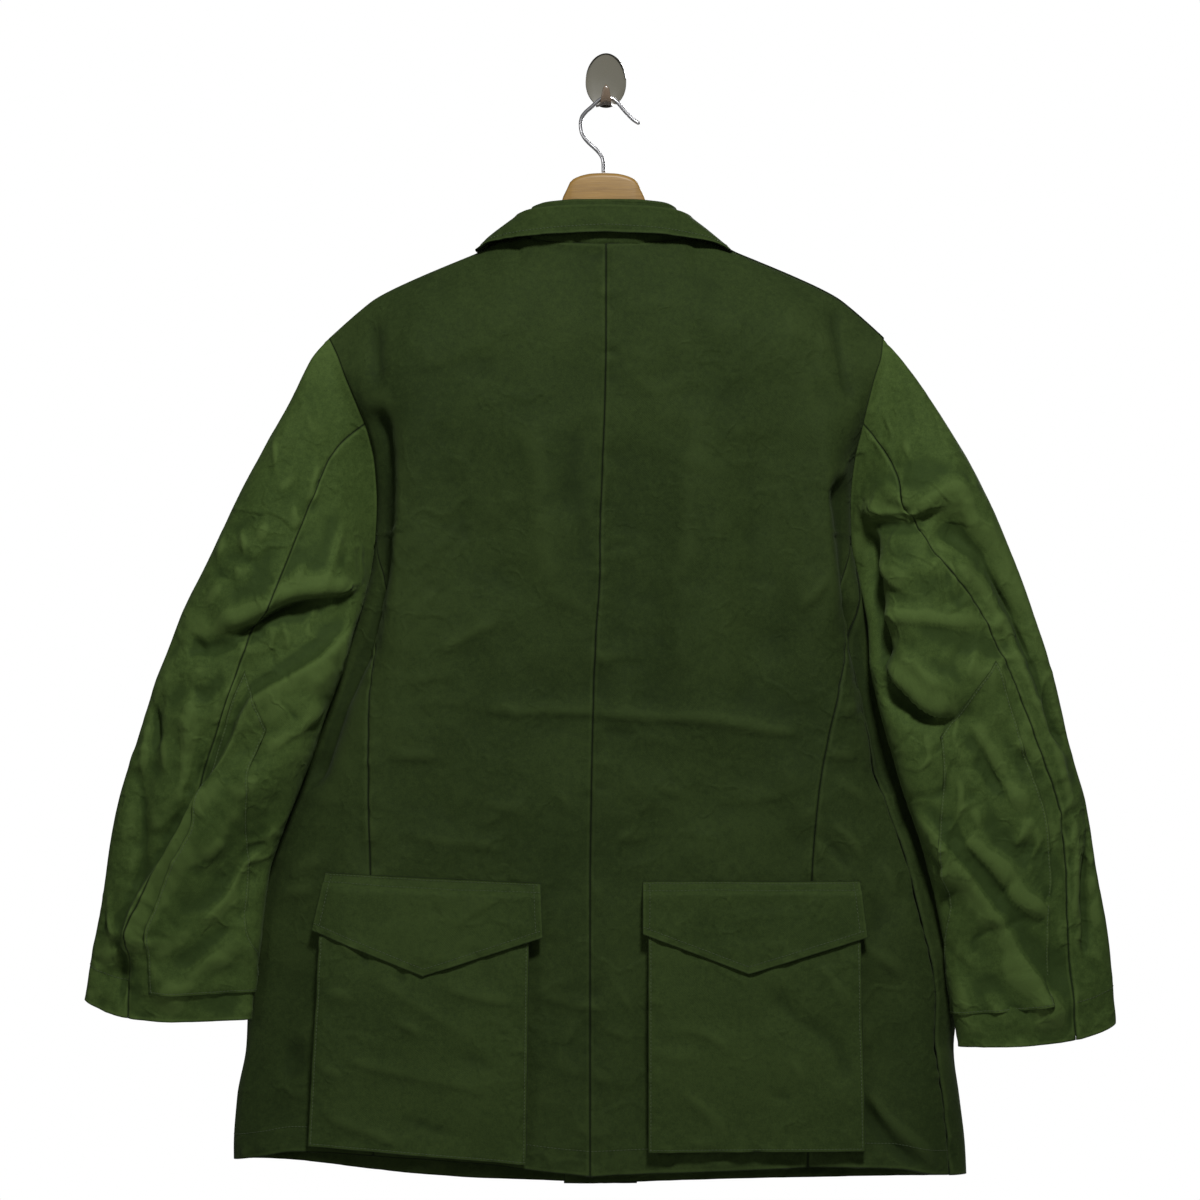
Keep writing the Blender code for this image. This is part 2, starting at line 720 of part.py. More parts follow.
def make_body():
    levels = arm_levels + hem_levels
    for side in ("left", "right"):
        def surface(s, level, side=side):
            return body_point(side, s, level)

        def back_edge(v, side=side):
            return back_panel_edge(side, v)

        def side_edge(v, side=side):
            return side_seam(side, v)

        centre_back = panel_grid(levels, lambda v: 0.0, back_edge, evenly(7))
        cloth(f"back_{side}", surface, centre_back, body_limits, body_hub(side), ridge=True)
        lower = levels[SIDE_BACK_START:]
        side_back = panel_grid(lower, back_edge, side_edge, evenly(5))
        cloth(f"side_back_{side}", surface, side_back, body_limits, body_hub(side))

        def front_start(v, side=side):
            return max(side_seam(side, v), 1.000002) if v > 0 else side_seam(side, v)

        aways = [(1 - reach) ** (1 / CROWDING) for reach in FRONT_REACHES]
        shares = [away / aways[-1] for away in aways]
        front = panel_grid(levels, front_start, lambda v: 1.0 + aways[-1], shares)
        cloth(f"front_{side}", surface, front, body_limits, body_hub(side), ridge=True)


# The sleeves
def sleeve_sections():
    return [LAST_SECTION * i / SLEEVE_ROWS for i in range(SLEEVE_ROWS + 1)]


def under_sleeve_grid(side):
    """The under sleeve's rows slant along the top of the elbow patch, which is cut from the same grid."""
    rows = []
    for section in sleeve_sections():
        seam, free = float(back_seam[side](section)), float(patch_edge[side](section))
        slant = PATCH_SLANT[side] * smooth(section / 5) * smooth((LAST_SECTION - section) / 3)
        row = [(blend(seam, free, i / PATCH_COLUMNS), section + slant * i / PATCH_COLUMNS)
               for i in range(PATCH_COLUMNS + 1)]
        for i in range(1, 7):
            row.append((blend(free, UNDERARM_SEAM_ANGLE, i / 6), section + slant * (1 - i / 6)))
        rows.append(row)
    return np.array(rows)


def sleeve_limits(angle, section):
    if section >= 0.01:
        return (-180.0, 360.0), (0.0, float(LAST_SECTION))
    if 0 <= angle <= 180:
        return (0.0, 180.0), (0.0, float(LAST_SECTION))
    if angle > 180:
        return (180.0001, 360.0), (0.0, float(LAST_SECTION))
    return (-180.0, -0.0001), (0.0, float(LAST_SECTION))


def make_sleeves():
    for side in ("left", "right"):
        def surface(angle, section, side=side):
            turned = angle if angle >= 0 else angle + 360
            return sleeve_point(side, section, turned)

        def seam(section, side=side):
            return float(back_seam[side](section))

        def top_angles(section, seam=seam):
            front = [UNDERARM_SEAM_ANGLE - 360 + 15 * i for i in range(9)]
            return front + [seam(section) * i / 5 for i in range(6)]

        hub = (-330.0 if side == "left" else 330.0, 46.0, 560.0)
        upper = np.array([[(angle, v) for angle in top_angles(v)] for v in sleeve_sections()])
        cloth(f"sleeve_{side}_top", surface, upper, sleeve_limits, hub)
        under = under_sleeve_grid(side)
        cloth(f"sleeve_{side}_under", surface, under, sleeve_limits, hub)
        first, last = PATCH_ROWS[side]
        patch = under[first:last + 1, :PATCH_COLUMNS + 1]
        cloth(f"elbow_patch_{side}", surface, patch, sleeve_limits, hub, edges=(),
              thickness=PATCH_CLOTH, lift=PATCH_CLOTH + LYING_GAP, inset=0.12)


# The collar
def collar_place(name, c):
    """A collar point at c, from -1 at the left front end through 0 at the back to 1 at the right one."""
    place = abs(c)
    side = -1 if c < 0 else 1
    return np.array([
        side * float(collar[name + "_across"](place)) + COLLAR_SHIFT,
        float(collar[name + "_out"](place)),
        float(collar[name + "_down"](place)),
    ])


def stand_point(c, v):
    """The stand rises from the neck seam to the fold."""
    neck, fold = collar_place("neck", c), collar_place("fold", c)
    neck[2] -= STAND_DROP
    return blend(neck, fold, v)


def fall_point(c, v):
    """The fall turns over above the stand and comes down outside it to the collar's edge."""
    fold, rim = collar_place("fold", c), collar_place("edge", c)
    along = collar_place("fold", min(c + 0.01, 1.0)) - collar_place("fold", max(c - 0.01, -1.0))
    away = np.array((-along[1], along[0], 0.0)) / math.hypot(along[0], along[1])
    over = fold - away * 0.7
    over[2] -= FALL_RISE
    roll = fold + away * 4.6
    roll[2] -= 0.2
    if v < 0.2:
        return blend(over, roll, math.sin(v / 0.2 * math.pi / 2))
    t = (v - 0.2) / 0.8
    belly = FALL_BELLY * math.sin(math.pi * t)
    return blend(roll, rim, t) + away * belly - np.array((0.0, 0.0, belly))


def make_collar():
    grid_c = [blend(-1, 1, i / COLLAR_STEPS) for i in range(COLLAR_STEPS + 1)]
    hub = (0.0, 30.0, 190.0)

    def limits(c, v):
        return (-1.0, 1.0), (0.0, 1.0)

    stand = np.array([[(c, v) for c in grid_c] for v in (0.0, 0.5, 1.0)])
    cloth("collar_stand", stand_point, stand, limits, hub, edges=(), thickness=COLLAR_CLOTH)
    fall = np.array([[(c, v) for c in grid_c] for v in (0.0, 0.1, 0.2, 0.6, 1.0)])
    cloth("collar_fall", fall_point, fall, limits, hub, edges=(), thickness=COLLAR_CLOTH)


# Pockets and flaps
def back_out_at(across, down):
    side = "left" if across < body["back_seam"](down) else "right"
    return float(body_out(side, across, down, "back"))


def quad(corners, u, v):
    a, b, c, d = (np.array(corner, float) for corner in corners)
    return blend(blend(a, b, u), blend(d, c, u), v)


def pocket_stand(v):
    """How far the pocket's face stands off the back: less at its mouth and at its foot."""
    return POCKET_MOUTH_STAND + (POCKET_STAND - POCKET_MOUTH_STAND) * math.sin(math.pi * min(v * 1.1, 1.0))


def pocket_outline(corners):
    """Down one side of the pocket, round its lower corners and up the other side, as (u, v)."""
    a, b, c, d = (np.array(corner, float) for corner in corners)
    wide, high = np.linalg.norm(c - d), np.linalg.norm(d - a)
    ru, rv = POCKET_CORNER / wide, POCKET_CORNER / high
    path = [(0.0, (1 - rv) * i / 7) for i in range(7)]
    turns = (0, math.pi / 6, math.pi / 3, math.pi / 2)
    path += [(ru * (1 - math.cos(q)), 1 - rv + rv * math.sin(q)) for q in turns]
    path += [(blend(ru, 1 - ru, i / 7), 1.0) for i in range(1, 7)]
    path += [(1 - ru + ru * math.sin(q), 1 - rv + rv * math.cos(q)) for q in turns]
    path += [(1.0, (1 - rv) * (1 - i / 7)) for i in range(1, 8)]
    return path


def make_pockets():
    for side, corners in POCKETS.items():
        steps = POCKET_STEPS
        face = np.zeros((steps + 1, steps + 1, 3))
        for j in range(steps + 1):
            for i in range(steps + 1):
                u, v = i / steps, j / steps
                across, down = quad(corners, u, v)
                face[j, i] = (across, back_out_at(across, down) + pocket_stand(v), down)
        back = face.copy()
        back[..., 1] -= CLOTH
        wall(f"pocket_{side}", face, back)
        path = pocket_outline(corners)
        spots = np.array([quad(corners, u, v) for u, v in path])
        way = np.gradient(spots, axis=0)
        way /= np.linalg.norm(way, axis=1, keepdims=True)
        inward = np.stack((way[:, 1], -way[:, 0]), axis=1)
        inward *= np.sign(((np.mean(spots, axis=0) - spots) * inward).sum())
        outside = np.zeros((3, len(path), 3))
        inside = outside.copy()
        for k, ((u, v), spot) in enumerate(zip(path, spots)):
            near = spot + inward[k] * CLOTH
            for ring, grid in ((spot, outside), (near, inside)):
                low = back_out_at(*ring) + LYING_GAP
                high = back_out_at(*ring) + pocket_stand(v) - CLOTH - LYING_GAP
                for row, share in enumerate((0.0, 0.5, 1.0)):
                    grid[row, k] = (ring[0], blend(low, high, share), ring[1])
        wall(f"pocket_gusset_{side}", outside, inside)


def make_flaps():
    """A flap lies on the back along its top, climbs over the pocket's mouth and hangs down its face."""
    for side, (a, b, c, tip, d) in FLAPS.items():
        a, b, c, tip, d = (np.array(corner, float) for corner in (a, b, c, tip, d))
        tip_share = (tip[0] - d[0]) / (c[0] - d[0])
        shares = [tip_share * i / 5 for i in range(6)] + [blend(tip_share, 1, i / 5) for i in range(1, 6)]
        outer = np.zeros((7, len(shares), 3))
        mouth_left, mouth_right = POCKETS[side][0][1], POCKETS[side][1][1]
        for i, u in enumerate(shares):
            upper = blend(a, b, u)
            if u <= tip_share:
                lower = blend(d, tip, u / tip_share)
            else:
                lower = blend(tip, c, (u - tip_share) / (1 - tip_share))
            mouth = blend(mouth_left, mouth_right, u) - FLAP_CLEARS
            clear = blend(upper, lower, (mouth - upper[1]) / (lower[1] - upper[1]))
            for j in range(7):
                across, down = blend(upper, clear, j / 3) if j <= 3 else blend(clear, lower, (j - 3) / 3)
                lying = CLOTH + LYING_GAP
                over = lying + FLAP_EASE + pocket_stand(max(down - mouth, 0.0) / 220)
                outer[j, i] = (across, back_out_at(across, down) + blend(lying, over, smooth(j / 3)), down)
        inner = outer.copy()
        inner[..., 1] -= CLOTH
        wall(f"flap_{side}", outer, inner)


# Buttons, hanger and hooks
def make_buttons():
    for i, down in enumerate(BUTTON_DOWNS):
        front = float(body_out("left", FRONT_CENTRE, down, "front"))
        middle = world((FRONT_CENTRE, front - SEAM_GAP - BUTTON_THICKNESS / 2, down))
        bm = bmesh.new()
        bmesh.ops.create_cone(
            bm, cap_ends=True, segments=18, radius1=BUTTON_RADIUS * MM, radius2=BUTTON_RADIUS * MM,
            depth=BUTTON_THICKNESS * MM,
        )
        rims = [e for e in bm.edges if any(len(f.verts) == 18 for f in e.link_faces)]
        bmesh.ops.bevel(bm, geom=rims, offset=0.8 * MM, segments=1, affect="EDGES", profile=0.5, material=-1)
        mesh = bpy.data.meshes.new(f"button_{i + 1}")
        bm.to_mesh(mesh)
        bm.free()
        made = keep(mesh.name, mesh, "button")
        made.rotation_euler = (math.pi / 2, 0, 0)
        made.location = middle


def make_hanger():
    """Rounded sections from one arm's end to the other, closed at both ends."""
    places = [-place for place in HANGER_PLACES] + list(HANGER_PLACES[-2::-1])
    around = 12
    bm = bmesh.new()
    rings = []
    for across in places:
        distance = abs(across)
        high, low = float(hanger["top"](distance)), float(hanger["bottom"](distance))
        half = float(hanger["half_thickness"](distance))
        corner = 5.5
        ring = []
        for k in range(around):
            turn = 2 * math.pi * k / around + math.pi / around
            out = HANGER_MIDDLE_OUT + half * math.copysign(abs(math.cos(turn)) ** 0.7, math.cos(turn))
            lift = corner * (1 - abs(math.sin(turn)))
            down = high + lift if math.sin(turn) > 0 else low - lift
            ring.append(bm.verts.new(world((across + HANGER_MIDDLE_ACROSS, out, down))))
        rings.append(ring)
    for first, second in zip(rings, rings[1:]):
        for k in range(around):
            bm.faces.new((first[k], first[(k + 1) % around], second[(k + 1) % around], second[k]))
    bm.faces.new(rings[0])
    bm.faces.new(rings[-1])
    bmesh.ops.recalc_face_normals(bm, faces=bm.faces[:])
    mesh = bpy.data.meshes.new("hanger_body")
    bm.to_mesh(mesh)
    bm.free()
    mesh.shade_smooth()
    keep("hanger_body", mesh, "wood")


def make_wire():
    route = np.array(WIRE_ROUTE, float)
    stations = np.concatenate(([0.0], np.cumsum(np.linalg.norm(np.diff(route, axis=0), axis=1))))
    across = curve_through(stations, route[:, 0])
    down = curve_through(stations, route[:, 1])
    curve = bpy.data.curves.new("hanger_hook", "CURVE")
    curve.dimensions = "3D"
    curve.bevel_depth = WIRE_RADIUS * MM
    curve.bevel_resolution = 2
    curve.use_fill_caps = True
    line = curve.splines.new("POLY")
    line.points.add(WIRE_POINTS - 1)
    for i, q in enumerate(np.linspace(0, stations[-1], WIRE_POINTS)):
        line.points[i].co = (*world((float(across(q)), WIRE_OUT, float(down(q)))), 1.0)
    keep("hanger_hook", curve, "wire")


def make_wall_hook():
    """The plate is a rounded oval, and the prong is joined to it as one moulding."""
    bm = bmesh.new()
    bmesh.ops.create_cone(bm, cap_ends=True, segments=28, radius1=1.0, radius2=1.0, depth=1.0)
    for vertex in bm.verts:
        x, y, z = vertex.co
        front = z > 0
        size = 0.93 if front else 1.0
        out = PLATE_THICKNESS if front else 0.0
        vertex.co = world((x * PLATE_HALF_WIDTH * size, out, y * PLATE_HALF_HEIGHT * size))
    bmesh.ops.recalc_face_normals(bm, faces=bm.faces[:])
    mesh = bpy.data.meshes.new("wall_hook")
    bm.to_mesh(mesh)
    bm.free()
    plate = keep("wall_hook", mesh, "plastic")
    rows, columns = 15, 5
    under = np.zeros((rows, columns, 3))
    for i in range(rows):
        step = 7 * i / (rows - 1)
        for j in range(columns):
            share = blend(-1, 1, j / (columns - 1))
            down = float(prong["down"](step)) + PRONG_CROWN * share**2
            under[i, j] = (share * float(prong["half_width"](step)), float(prong["out"](step)), down)
    way = np.gradient(under, axis=0)
    normal = np.stack((np.zeros(way.shape[:2]), way[..., 2], -way[..., 1]), axis=-1)
    normal /= np.linalg.norm(normal, axis=-1, keepdims=True)
    normal *= np.sign((normal * np.array((0, 1, 1))).sum())
    half = PRONG_THICKNESS / 2
    tongue = wall("wall_hook_prong", under + normal * half, under - normal * half, "plastic")
    jacket.objects.unlink(tongue)
    cutters.objects.link(tongue)
    tongue.hide_render = True
    tongue.display_type = "WIRE"
    joined = plate.modifiers.new("one moulding", "BOOLEAN")
    joined.operation = "UNION"
    joined.object = tongue


def main():
    for old in list(bpy.data.objects):
        bpy.data.objects.remove(old)
    bpy.context.scene.collection.children.link(jacket)
    bpy.context.scene.collection.children.link(cutters)
    make_body()
    make_sleeves()
    make_collar()
    make_pockets()
    make_flaps()
    make_buttons()
    make_hanger()
    make_wire()
    make_wall_hook()


main()
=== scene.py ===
# %% [markdown]
# # An army field jacket, hung with its back to us
#
# The real object is a worn-in cotton jacket on a wooden hanger, which hangs from a small oval hook stuck on
# the wall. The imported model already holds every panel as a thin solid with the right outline. This script
# gives each panel the look of real cloth: a fine sheet that follows the same form, with pressed creases,
# drag lines, seams, stitching and a sateen weave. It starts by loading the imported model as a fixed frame.

import math

import bmesh
import bpy
import numpy as np
from mathutils import Matrix, Vector

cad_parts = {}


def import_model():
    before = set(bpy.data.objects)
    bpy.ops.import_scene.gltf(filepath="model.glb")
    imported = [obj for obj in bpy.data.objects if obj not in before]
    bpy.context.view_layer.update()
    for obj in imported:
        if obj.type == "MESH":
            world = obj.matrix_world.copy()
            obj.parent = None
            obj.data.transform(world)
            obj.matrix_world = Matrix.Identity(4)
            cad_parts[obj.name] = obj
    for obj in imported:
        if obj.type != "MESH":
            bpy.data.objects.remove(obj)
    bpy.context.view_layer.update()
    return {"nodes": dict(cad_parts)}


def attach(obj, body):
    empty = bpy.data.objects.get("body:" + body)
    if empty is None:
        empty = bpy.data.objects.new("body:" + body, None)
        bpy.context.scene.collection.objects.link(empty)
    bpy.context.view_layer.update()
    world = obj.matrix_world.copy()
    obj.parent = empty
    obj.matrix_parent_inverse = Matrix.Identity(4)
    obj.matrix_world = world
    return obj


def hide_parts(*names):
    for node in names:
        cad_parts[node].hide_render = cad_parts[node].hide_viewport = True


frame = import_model()
print("nodes in the packed model:", len(frame["nodes"]))

# %% [markdown]
# ## The jacket's measures
#
# Cloth that is sewn keeps the shape of its pattern, so the tables below say where the pattern's lines hang:
# the edge of the body, its hem, its seams, and the sections of both sleeves. Lengths are millimetres from
# the middle of the wall hook's back: across to the right, down towards the hem, and out away from the wall.
# They are the sizes that the solids were made from, with the collar's lower edge corrected, and they are
# repeated here because this script reads nothing but the frame.

# %% Main places
MM = 0.001
CLOTH = 1.3
PATCH_CLOTH = 1.0
SEAM_GAP = 0.16
LYING_GAP = 0.55
CAD_CLOTH = 1.6
UNDERARM_DOWN = 436.0
SHOULDER_TIP = {"left": -245.0, "right": 245.0}
TIP_DOWN = 230.0
RIDGE_OUT = 22.0
NECK_HALF_WIDTH = 76.0
NECK_BACK_OUT = 54.0
NECK_FRONT_OUT = 11.0
SHOULDER_FOLD = 6.0
BACK_DROP = 80.0
FRONT_DROP = 30.0
CROWDING = 1.6
LAP = 20.0
LAP_STEP = 2.3
LAP_EASE = 60.0
FRONT_CENTRE = -5.0
CENTRE_DRIFT = 200.0
FRONT_RUN = 40.0
SIDE_BACK_TOP = (1 + math.cos(math.pi * 9 / 12)) / 2
print("shoulder tip to shoulder tip:", SHOULDER_TIP["right"] - SHOULDER_TIP["left"], "mm")

# %% The body's edge
EDGE_COLUMNS = ("down", "left", "right", "back_out", "front_out", "fold", "run")
EDGE = (
    (230, -245, 245, 22, 22, 2, 90),
    (246, -237, 243, 34, 20, 2, 85),
    (264, -230, 237, 46, 18, 2, 75),
    (290, -219, 230, 50, 16, 2, 60),
    (312, -210, 225, 46, 15, 2, 42),
    (339, -204, 219, 38, 15, 2, 28),
    (374, -202, 216, 31, 16, 2, 22),
    (409, -204, 217, 26, 19, 3, 22),
    (436, -208, 222, 24, 24, 6, 26),
    (462, -216, 229, 22, 22, 8, 34),
    (497, -228, 234, 20, 20, 8, 50),
    (550, -249, 247, 18, 18, 8, 66),
    (603, -270, 263, 18, 18, 8, 80),
    (638, -284, 275, 18, 18, 8, 88),
    (726, -310, 300, 18, 18, 8, 92),
    (814, -317, 311, 18, 18, 8, 86),
    (858, -319, 307, 18, 18, 8, 76),
    (902, -327, 312, 18, 18, 8, 70),
    (946, -330, 317, 18, 18, 8, 64),
    (985, -329, 319, 18, 18, 8, 60),
)
print("rows of the body's edge:", len(EDGE))

# %% The body's cloth, top and hems
BODY_COLUMNS = ("down", "back_out", "front_out", "back_seam", "left_seam", "right_seam", "right_side")
BODY = (
    (140, 64, 12, 0, -201, 215, 0),
    (231, 73, 12, 0, -201, 215, 0),
    (350, 77, 12, -3, -201, 215, 0),
    (412, 76, 11, -5, -203, 216, 0),
    (436, 76, 11, -5, -203, 216, 1),
    (497, 75, 10, -9, -207, 214, 9),
    (550, 74, 10, -11, -208, 203, 18),
    (638, 71, 9, -13, -208, 186, 28),
    (726, 69, 9, -14, -206, 180, 28),
    (814, 67, 9, -14, -205, 179, 20),
    (902, 65, 9, -14, -204, 178, 16),
    (985, 63, 9, -14, -204, 177, 13),
)
TOP_COLUMNS = ("across", "back", "front")
TOP = (
    (0, 148, 176),
    (20, 147.6, 173.5),
    (36, 147, 169),
    (60, 144.5, 156),
    (76, 138.8, 138.8),
    (117, 156, 156),
    (138, 164.6, 164.6),
    (165, 176, 176),
    (191, 188, 188),
    (205, 195.8, 195.8),
    (218, 206, 206),
    (231, 217.3, 217.3),
    (245, 230, 230),
)
HEM_COLUMNS = ("reach", "left_back", "left_front", "right_back", "right_front")
HEM = (
    (0.0, 968, 979.8, 968, 979.8),
    (0.12, 964, 977.4, 966, 978.2),
    (0.3, 957, 975.2, 964, 976.6),
    (0.46, 953, 972.6, 962, 975.2),
    (0.6, 950, 968.2, 960, 974.2),
    (0.82, 946, 959.4, 962, 973),
    (0.92, 952, 957.4, 968, 972.6),
    (1.0, 957, 957, 970, 970),
)
print("rows of the body, its top and its hems:", len(BODY), len(TOP), len(HEM))

# %% The sleeves' sections
SLEEVE_COLUMNS = (
    "section",
    "outer_across", "outer_down",
    "inner_across", "inner_down",
    "middle_out", "half_depth",
)
SLEEVE_LEFT = (
    (0, -245, 230, -208, 436, 23, 14),
    (1, -259, 247, -213, 452, 34, 20),
    (2, -278, 286, -217, 471, 40, 27),
    (3, -302, 330, -223, 493, 46, 32),
    (4, -325, 374, -229, 517, 51, 34),
    (5, -347, 422, -238, 541, 55, 34),
    (6, -373, 475, -248, 569, 57, 33),
    (7, -395, 532, -260, 604, 58, 32),
    (8, -412, 585, -273, 638, 57, 31),
    (9, -428, 638, -285, 669, 55, 30),
    (10, -437, 682, -295, 700, 53, 28),
    (11, -444, 730, -301, 739, 50, 26),
    (12, -452, 770, -306, 779, 48, 24),
    (13, -460, 814, -312, 831, 46, 22),
)
SLEEVE_RIGHT = (
    (0, 245, 230, 222, 436, 23, 14),
    (1, 259, 247, 227, 451, 34, 20),
    (2, 278, 273, 229, 468, 40, 27),
    (3, 298, 304, 231, 490, 46, 32),
    (4, 319, 339, 231, 515, 51, 34),
    (5, 338, 378, 236, 543, 55, 34),
    (6, 357, 422, 244, 572, 57, 33),
    (7, 376, 473, 253, 603, 58, 32),
    (8, 393, 530, 263, 636, 57, 31),
    (9, 407, 587, 275, 671, 55, 30),
    (10, 421, 638, 285, 708, 53, 28),
    (11, 432, 704, 294, 748, 50, 26),
    (12, 443, 766, 302, 796, 48, 24),
    (13, 449, 834, 310, 855, 46, 22),
)
print("sections of a sleeve:", len(SLEEVE_LEFT), len(SLEEVE_RIGHT))

# %% The sleeves' seams and elbow patches
LAST_SECTION = 13.0
ARMHOLE_EASE = 1.6
SLEEVE_FULLNESS = 0.8
UNDERARM_SEAM_ANGLE = 225.0
UNDERARM_TUCK = 2.2
BACK_SEAM_COLUMNS = ("section", "left", "right")
BACK_SEAM = (
    (0, 75, 75),
    (2, 80, 82),
    (3, 82, 84),
    (4, 83, 80),
    (5, 83, 74),
    (6, 82, 65),
    (7, 83, 60),
    (8, 84, 56),
    (9, 86, 51),
    (9.6, 81, 49),
    (10.6, 65, 51),
    (11.4, 55, 58),
    (12, 56, 61),
    (13, 62, 62),
)
PATCH_EDGE_COLUMNS = ("section", "left", "right")
PATCH_EDGE = (
    (0, 135, 135),
    (5, 120, 124),
    (6.8, 115, 116),
    (7.6, 120, 121),
    (8.7, 133, 140),
    (9.5, 142, 147),
    (10.3, 143, 150),
    (11, 152, 168),
    (11.5, 172, 181),
    (12, 188, 190),
    (13, 200, 200),
)
PATCH_SECTIONS = {"left": (6.0, 12.5), "right": (7.0, 12.5)}
PATCH_SHARE = 0.4
PATCH_SLANT = {"left": 0.8, "right": 0.4}
CUFF_BOW = {"left": 11.5, "right": 8.5}
print("rows of the sleeves' seams:", len(BACK_SEAM), len(PATCH_EDGE))

# %% The collar
COLLAR_COLUMNS = (
    "place",
    "neck_across", "neck_down", "neck_out",
    "fold_across", "fold_down", "fold_out",
    "edge_across", "edge_down", "edge_out",
)
COLLAR = (
    (0.0, 0, 147.5, 54.0, 0, 111, 47.0, 0, 138.5, 62.0),
    (0.15, 26, 147, 51.6, 24, 111, 45.5, 38, 140, 60.0),
    (0.3, 50, 145, 43.6, 43, 112, 40.5, 74, 142.5, 52.0),
    (0.42, 68, 141, 35.6, 54, 113, 33.0, 98, 146, 42.0),
    (0.5, 76.5, 137.5, 22.0, 60, 115, 23.0, 114, 152.5, 30.0),
    (0.55, 74, 139, 17.6, 59, 117, 18.5, 114, 153, 18.0),
    (0.6, 68, 144, 15.4, 56, 119, 15.6, 109, 156, 8.8),
    (0.7, 53, 158, 13.2, 47, 126, 13.0, 96, 174, 6.4),
    (0.85, 28, 171.5, 11.4, 26, 140, 11.4, 70, 202, 5.2),
    (1.0, 6, 175.5, 11.0, 8, 150, 11.0, 44, 228, 4.4),
)
COLLAR_SHIFT = -1.5
FALL_BELLY = 1.6
FALL_RISE = 2.3
STAND_DROP = 1.8
print("places along half the collar:", len(COLLAR))

# %% The pockets, flaps and buttons
POCKETS = {
    "left": ((-249, 722), (-67, 728), (-70, 957), (-261, 940)),
    "right": ((37, 725), (222, 725), (227, 945), (37, 946)),
}
POCKET_CORNER = 9.0
POCKET_MOUTH_STAND = 10.0
POCKET_STAND = 14.0
FLAPS = {
    "left": ((-246, 701), (-57, 710), (-55, 757), (-160, 791), (-258, 751)),
    "right": ((32, 708), (223, 708), (229, 757), (125, 789), (32, 754)),
}
FLAP_CLEARS = 4.0
FLAP_EASE = 0.4
BUTTON_RADIUS = 10.5
BUTTON_THICKNESS = 2.8
BUTTON_DOWNS = (268, 398, 528, 658, 788)
print("pockets, flaps and buttons:", len(POCKETS), len(FLAPS), len(BUTTON_DOWNS))

# %% The hanger and its wire
HANGER_COLUMNS = ("across", "top", "bottom", "half_thickness")
HANGER = (
    (0, 83.9, 178, 5.5),
    (10, 84.3, 178, 5.5),
    (18, 85.7, 178, 5.5),
    (26.5, 89.0, 178, 5.5),
    (30.2, 92.5, 178.3, 5.5),
    (32, 97, 178.6, 5.5),
    (35.2, 103, 179, 5.5),
    (40, 118, 180.5, 5.5),
    (47, 137, 182, 5.5),
    (58, 149.5, 184, 5.5),
    (74, 155.0, 188, 5.0),
    (95, 157.5, 193, 4.5),
    (117, 161.2, 198, 4.5),
    (138, 169.4, 203, 4.5),
    (165, 181.0, 210, 4.5),
    (190, 192.6, 217, 4.0),
    (197, 198.4, 215, 2.8),
)
HANGER_MIDDLE_ACROSS = -2.0
HANGER_MIDDLE_OUT = 22.2
WIRE_RADIUS = 1.75
WIRE_OUT = 22.0
WIRE_ROUTE = (
    (-2.2, 83.4), (-2.2, 77.0), (-2.9, 71.5), (-5.6, 66.6), (-10.0, 61.9), (-15.2, 57.2), (-19.4, 52.2),
    (-21.8, 46.5), (-22.4, 40.5), (-21.4, 34.8), (-18.2, 30.2), (-12.6, 25.2), (-7.6, 20.6), (-3.2, 17.8),
    (1.4, 17.0), (6.0, 18.2), (10.2, 21.4), (13.8, 25.6), (17.4, 29.8), (20.8, 33.4), (25.2, 37.4),
    (30.2, 40.4),
)
print("rows of the hanger and of its wire:", len(HANGER), len(WIRE_ROUTE))

# %% The wall hook
PLATE_HALF_WIDTH = 18.0
PLATE_HALF_HEIGHT = 24.2
PLATE_THICKNESS = 3.6
PRONG_COLUMNS = ("step", "out", "down", "half_width")
PRONG = (
    (0, 2.6, 20.4, 9.0),
    (1, 8.0, 20.7, 8.0),
    (2, 16.0, 20.9, 6.6),
    (3, 22.6, 20.9, 5.6),
    (4, 27.0, 19.2, 5.0),
    (5, 28.8, 14.8, 4.2),
    (6, 29.4, 10.0, 3.2),
    (7, 29.0, 6.0, 2.2),
)
PRONG_THICKNESS = 3.6
PRONG_CROWN = 2.6
print("rows of the prong:", len(PRONG))

# %% [markdown]
# ## Reading the tables
#
# Between two rows of a table the cloth bends smoothly and never swings past either row, as a tailor's curve
# does. A monotone cubic does that, and it takes whole arrays of places at once, so a sheet with tens of
# thousands of points is shaped in a moment.

# %% Curves through a table
def curve_through(stations, values):
    """A function that gives the value at any station, by a cubic that never swings past a row."""
    x = np.array(stations, float)
    y = np.array(values, float)
    step = np.diff(x)
    slope = np.diff(y) / step
    tangent = np.zeros_like(y)
    tangent[0] = slope[0]
    tangent[-1] = slope[-1]
    for i in range(1, len(x) - 1):
        if slope[i - 1] * slope[i] > 0:
            tangent[i] = 2 / (1 / slope[i - 1] + 1 / slope[i])

    def at(q):
        q = np.clip(q, x[0], x[-1])
        i = np.clip(np.searchsorted(x, q, side="right") - 1, 0, len(step) - 1)
        t = (q - x[i]) / step[i]
        start = (2 * t**3 - 3 * t**2 + 1) * y[i] + (t**3 - 2 * t**2 + t) * step[i] * tangent[i]
        end = (3 * t**2 - 2 * t**3) * y[i + 1] + (t**3 - t**2) * step[i] * tangent[i + 1]
        return start + end

    return at


def columns_of(table, names):
    """One curve for each named column but the first, which holds the stations."""
    rows = np.array(table, float)
    return {name: curve_through(rows[:, 0], rows[:, i]) for i, name in enumerate(names) if i}


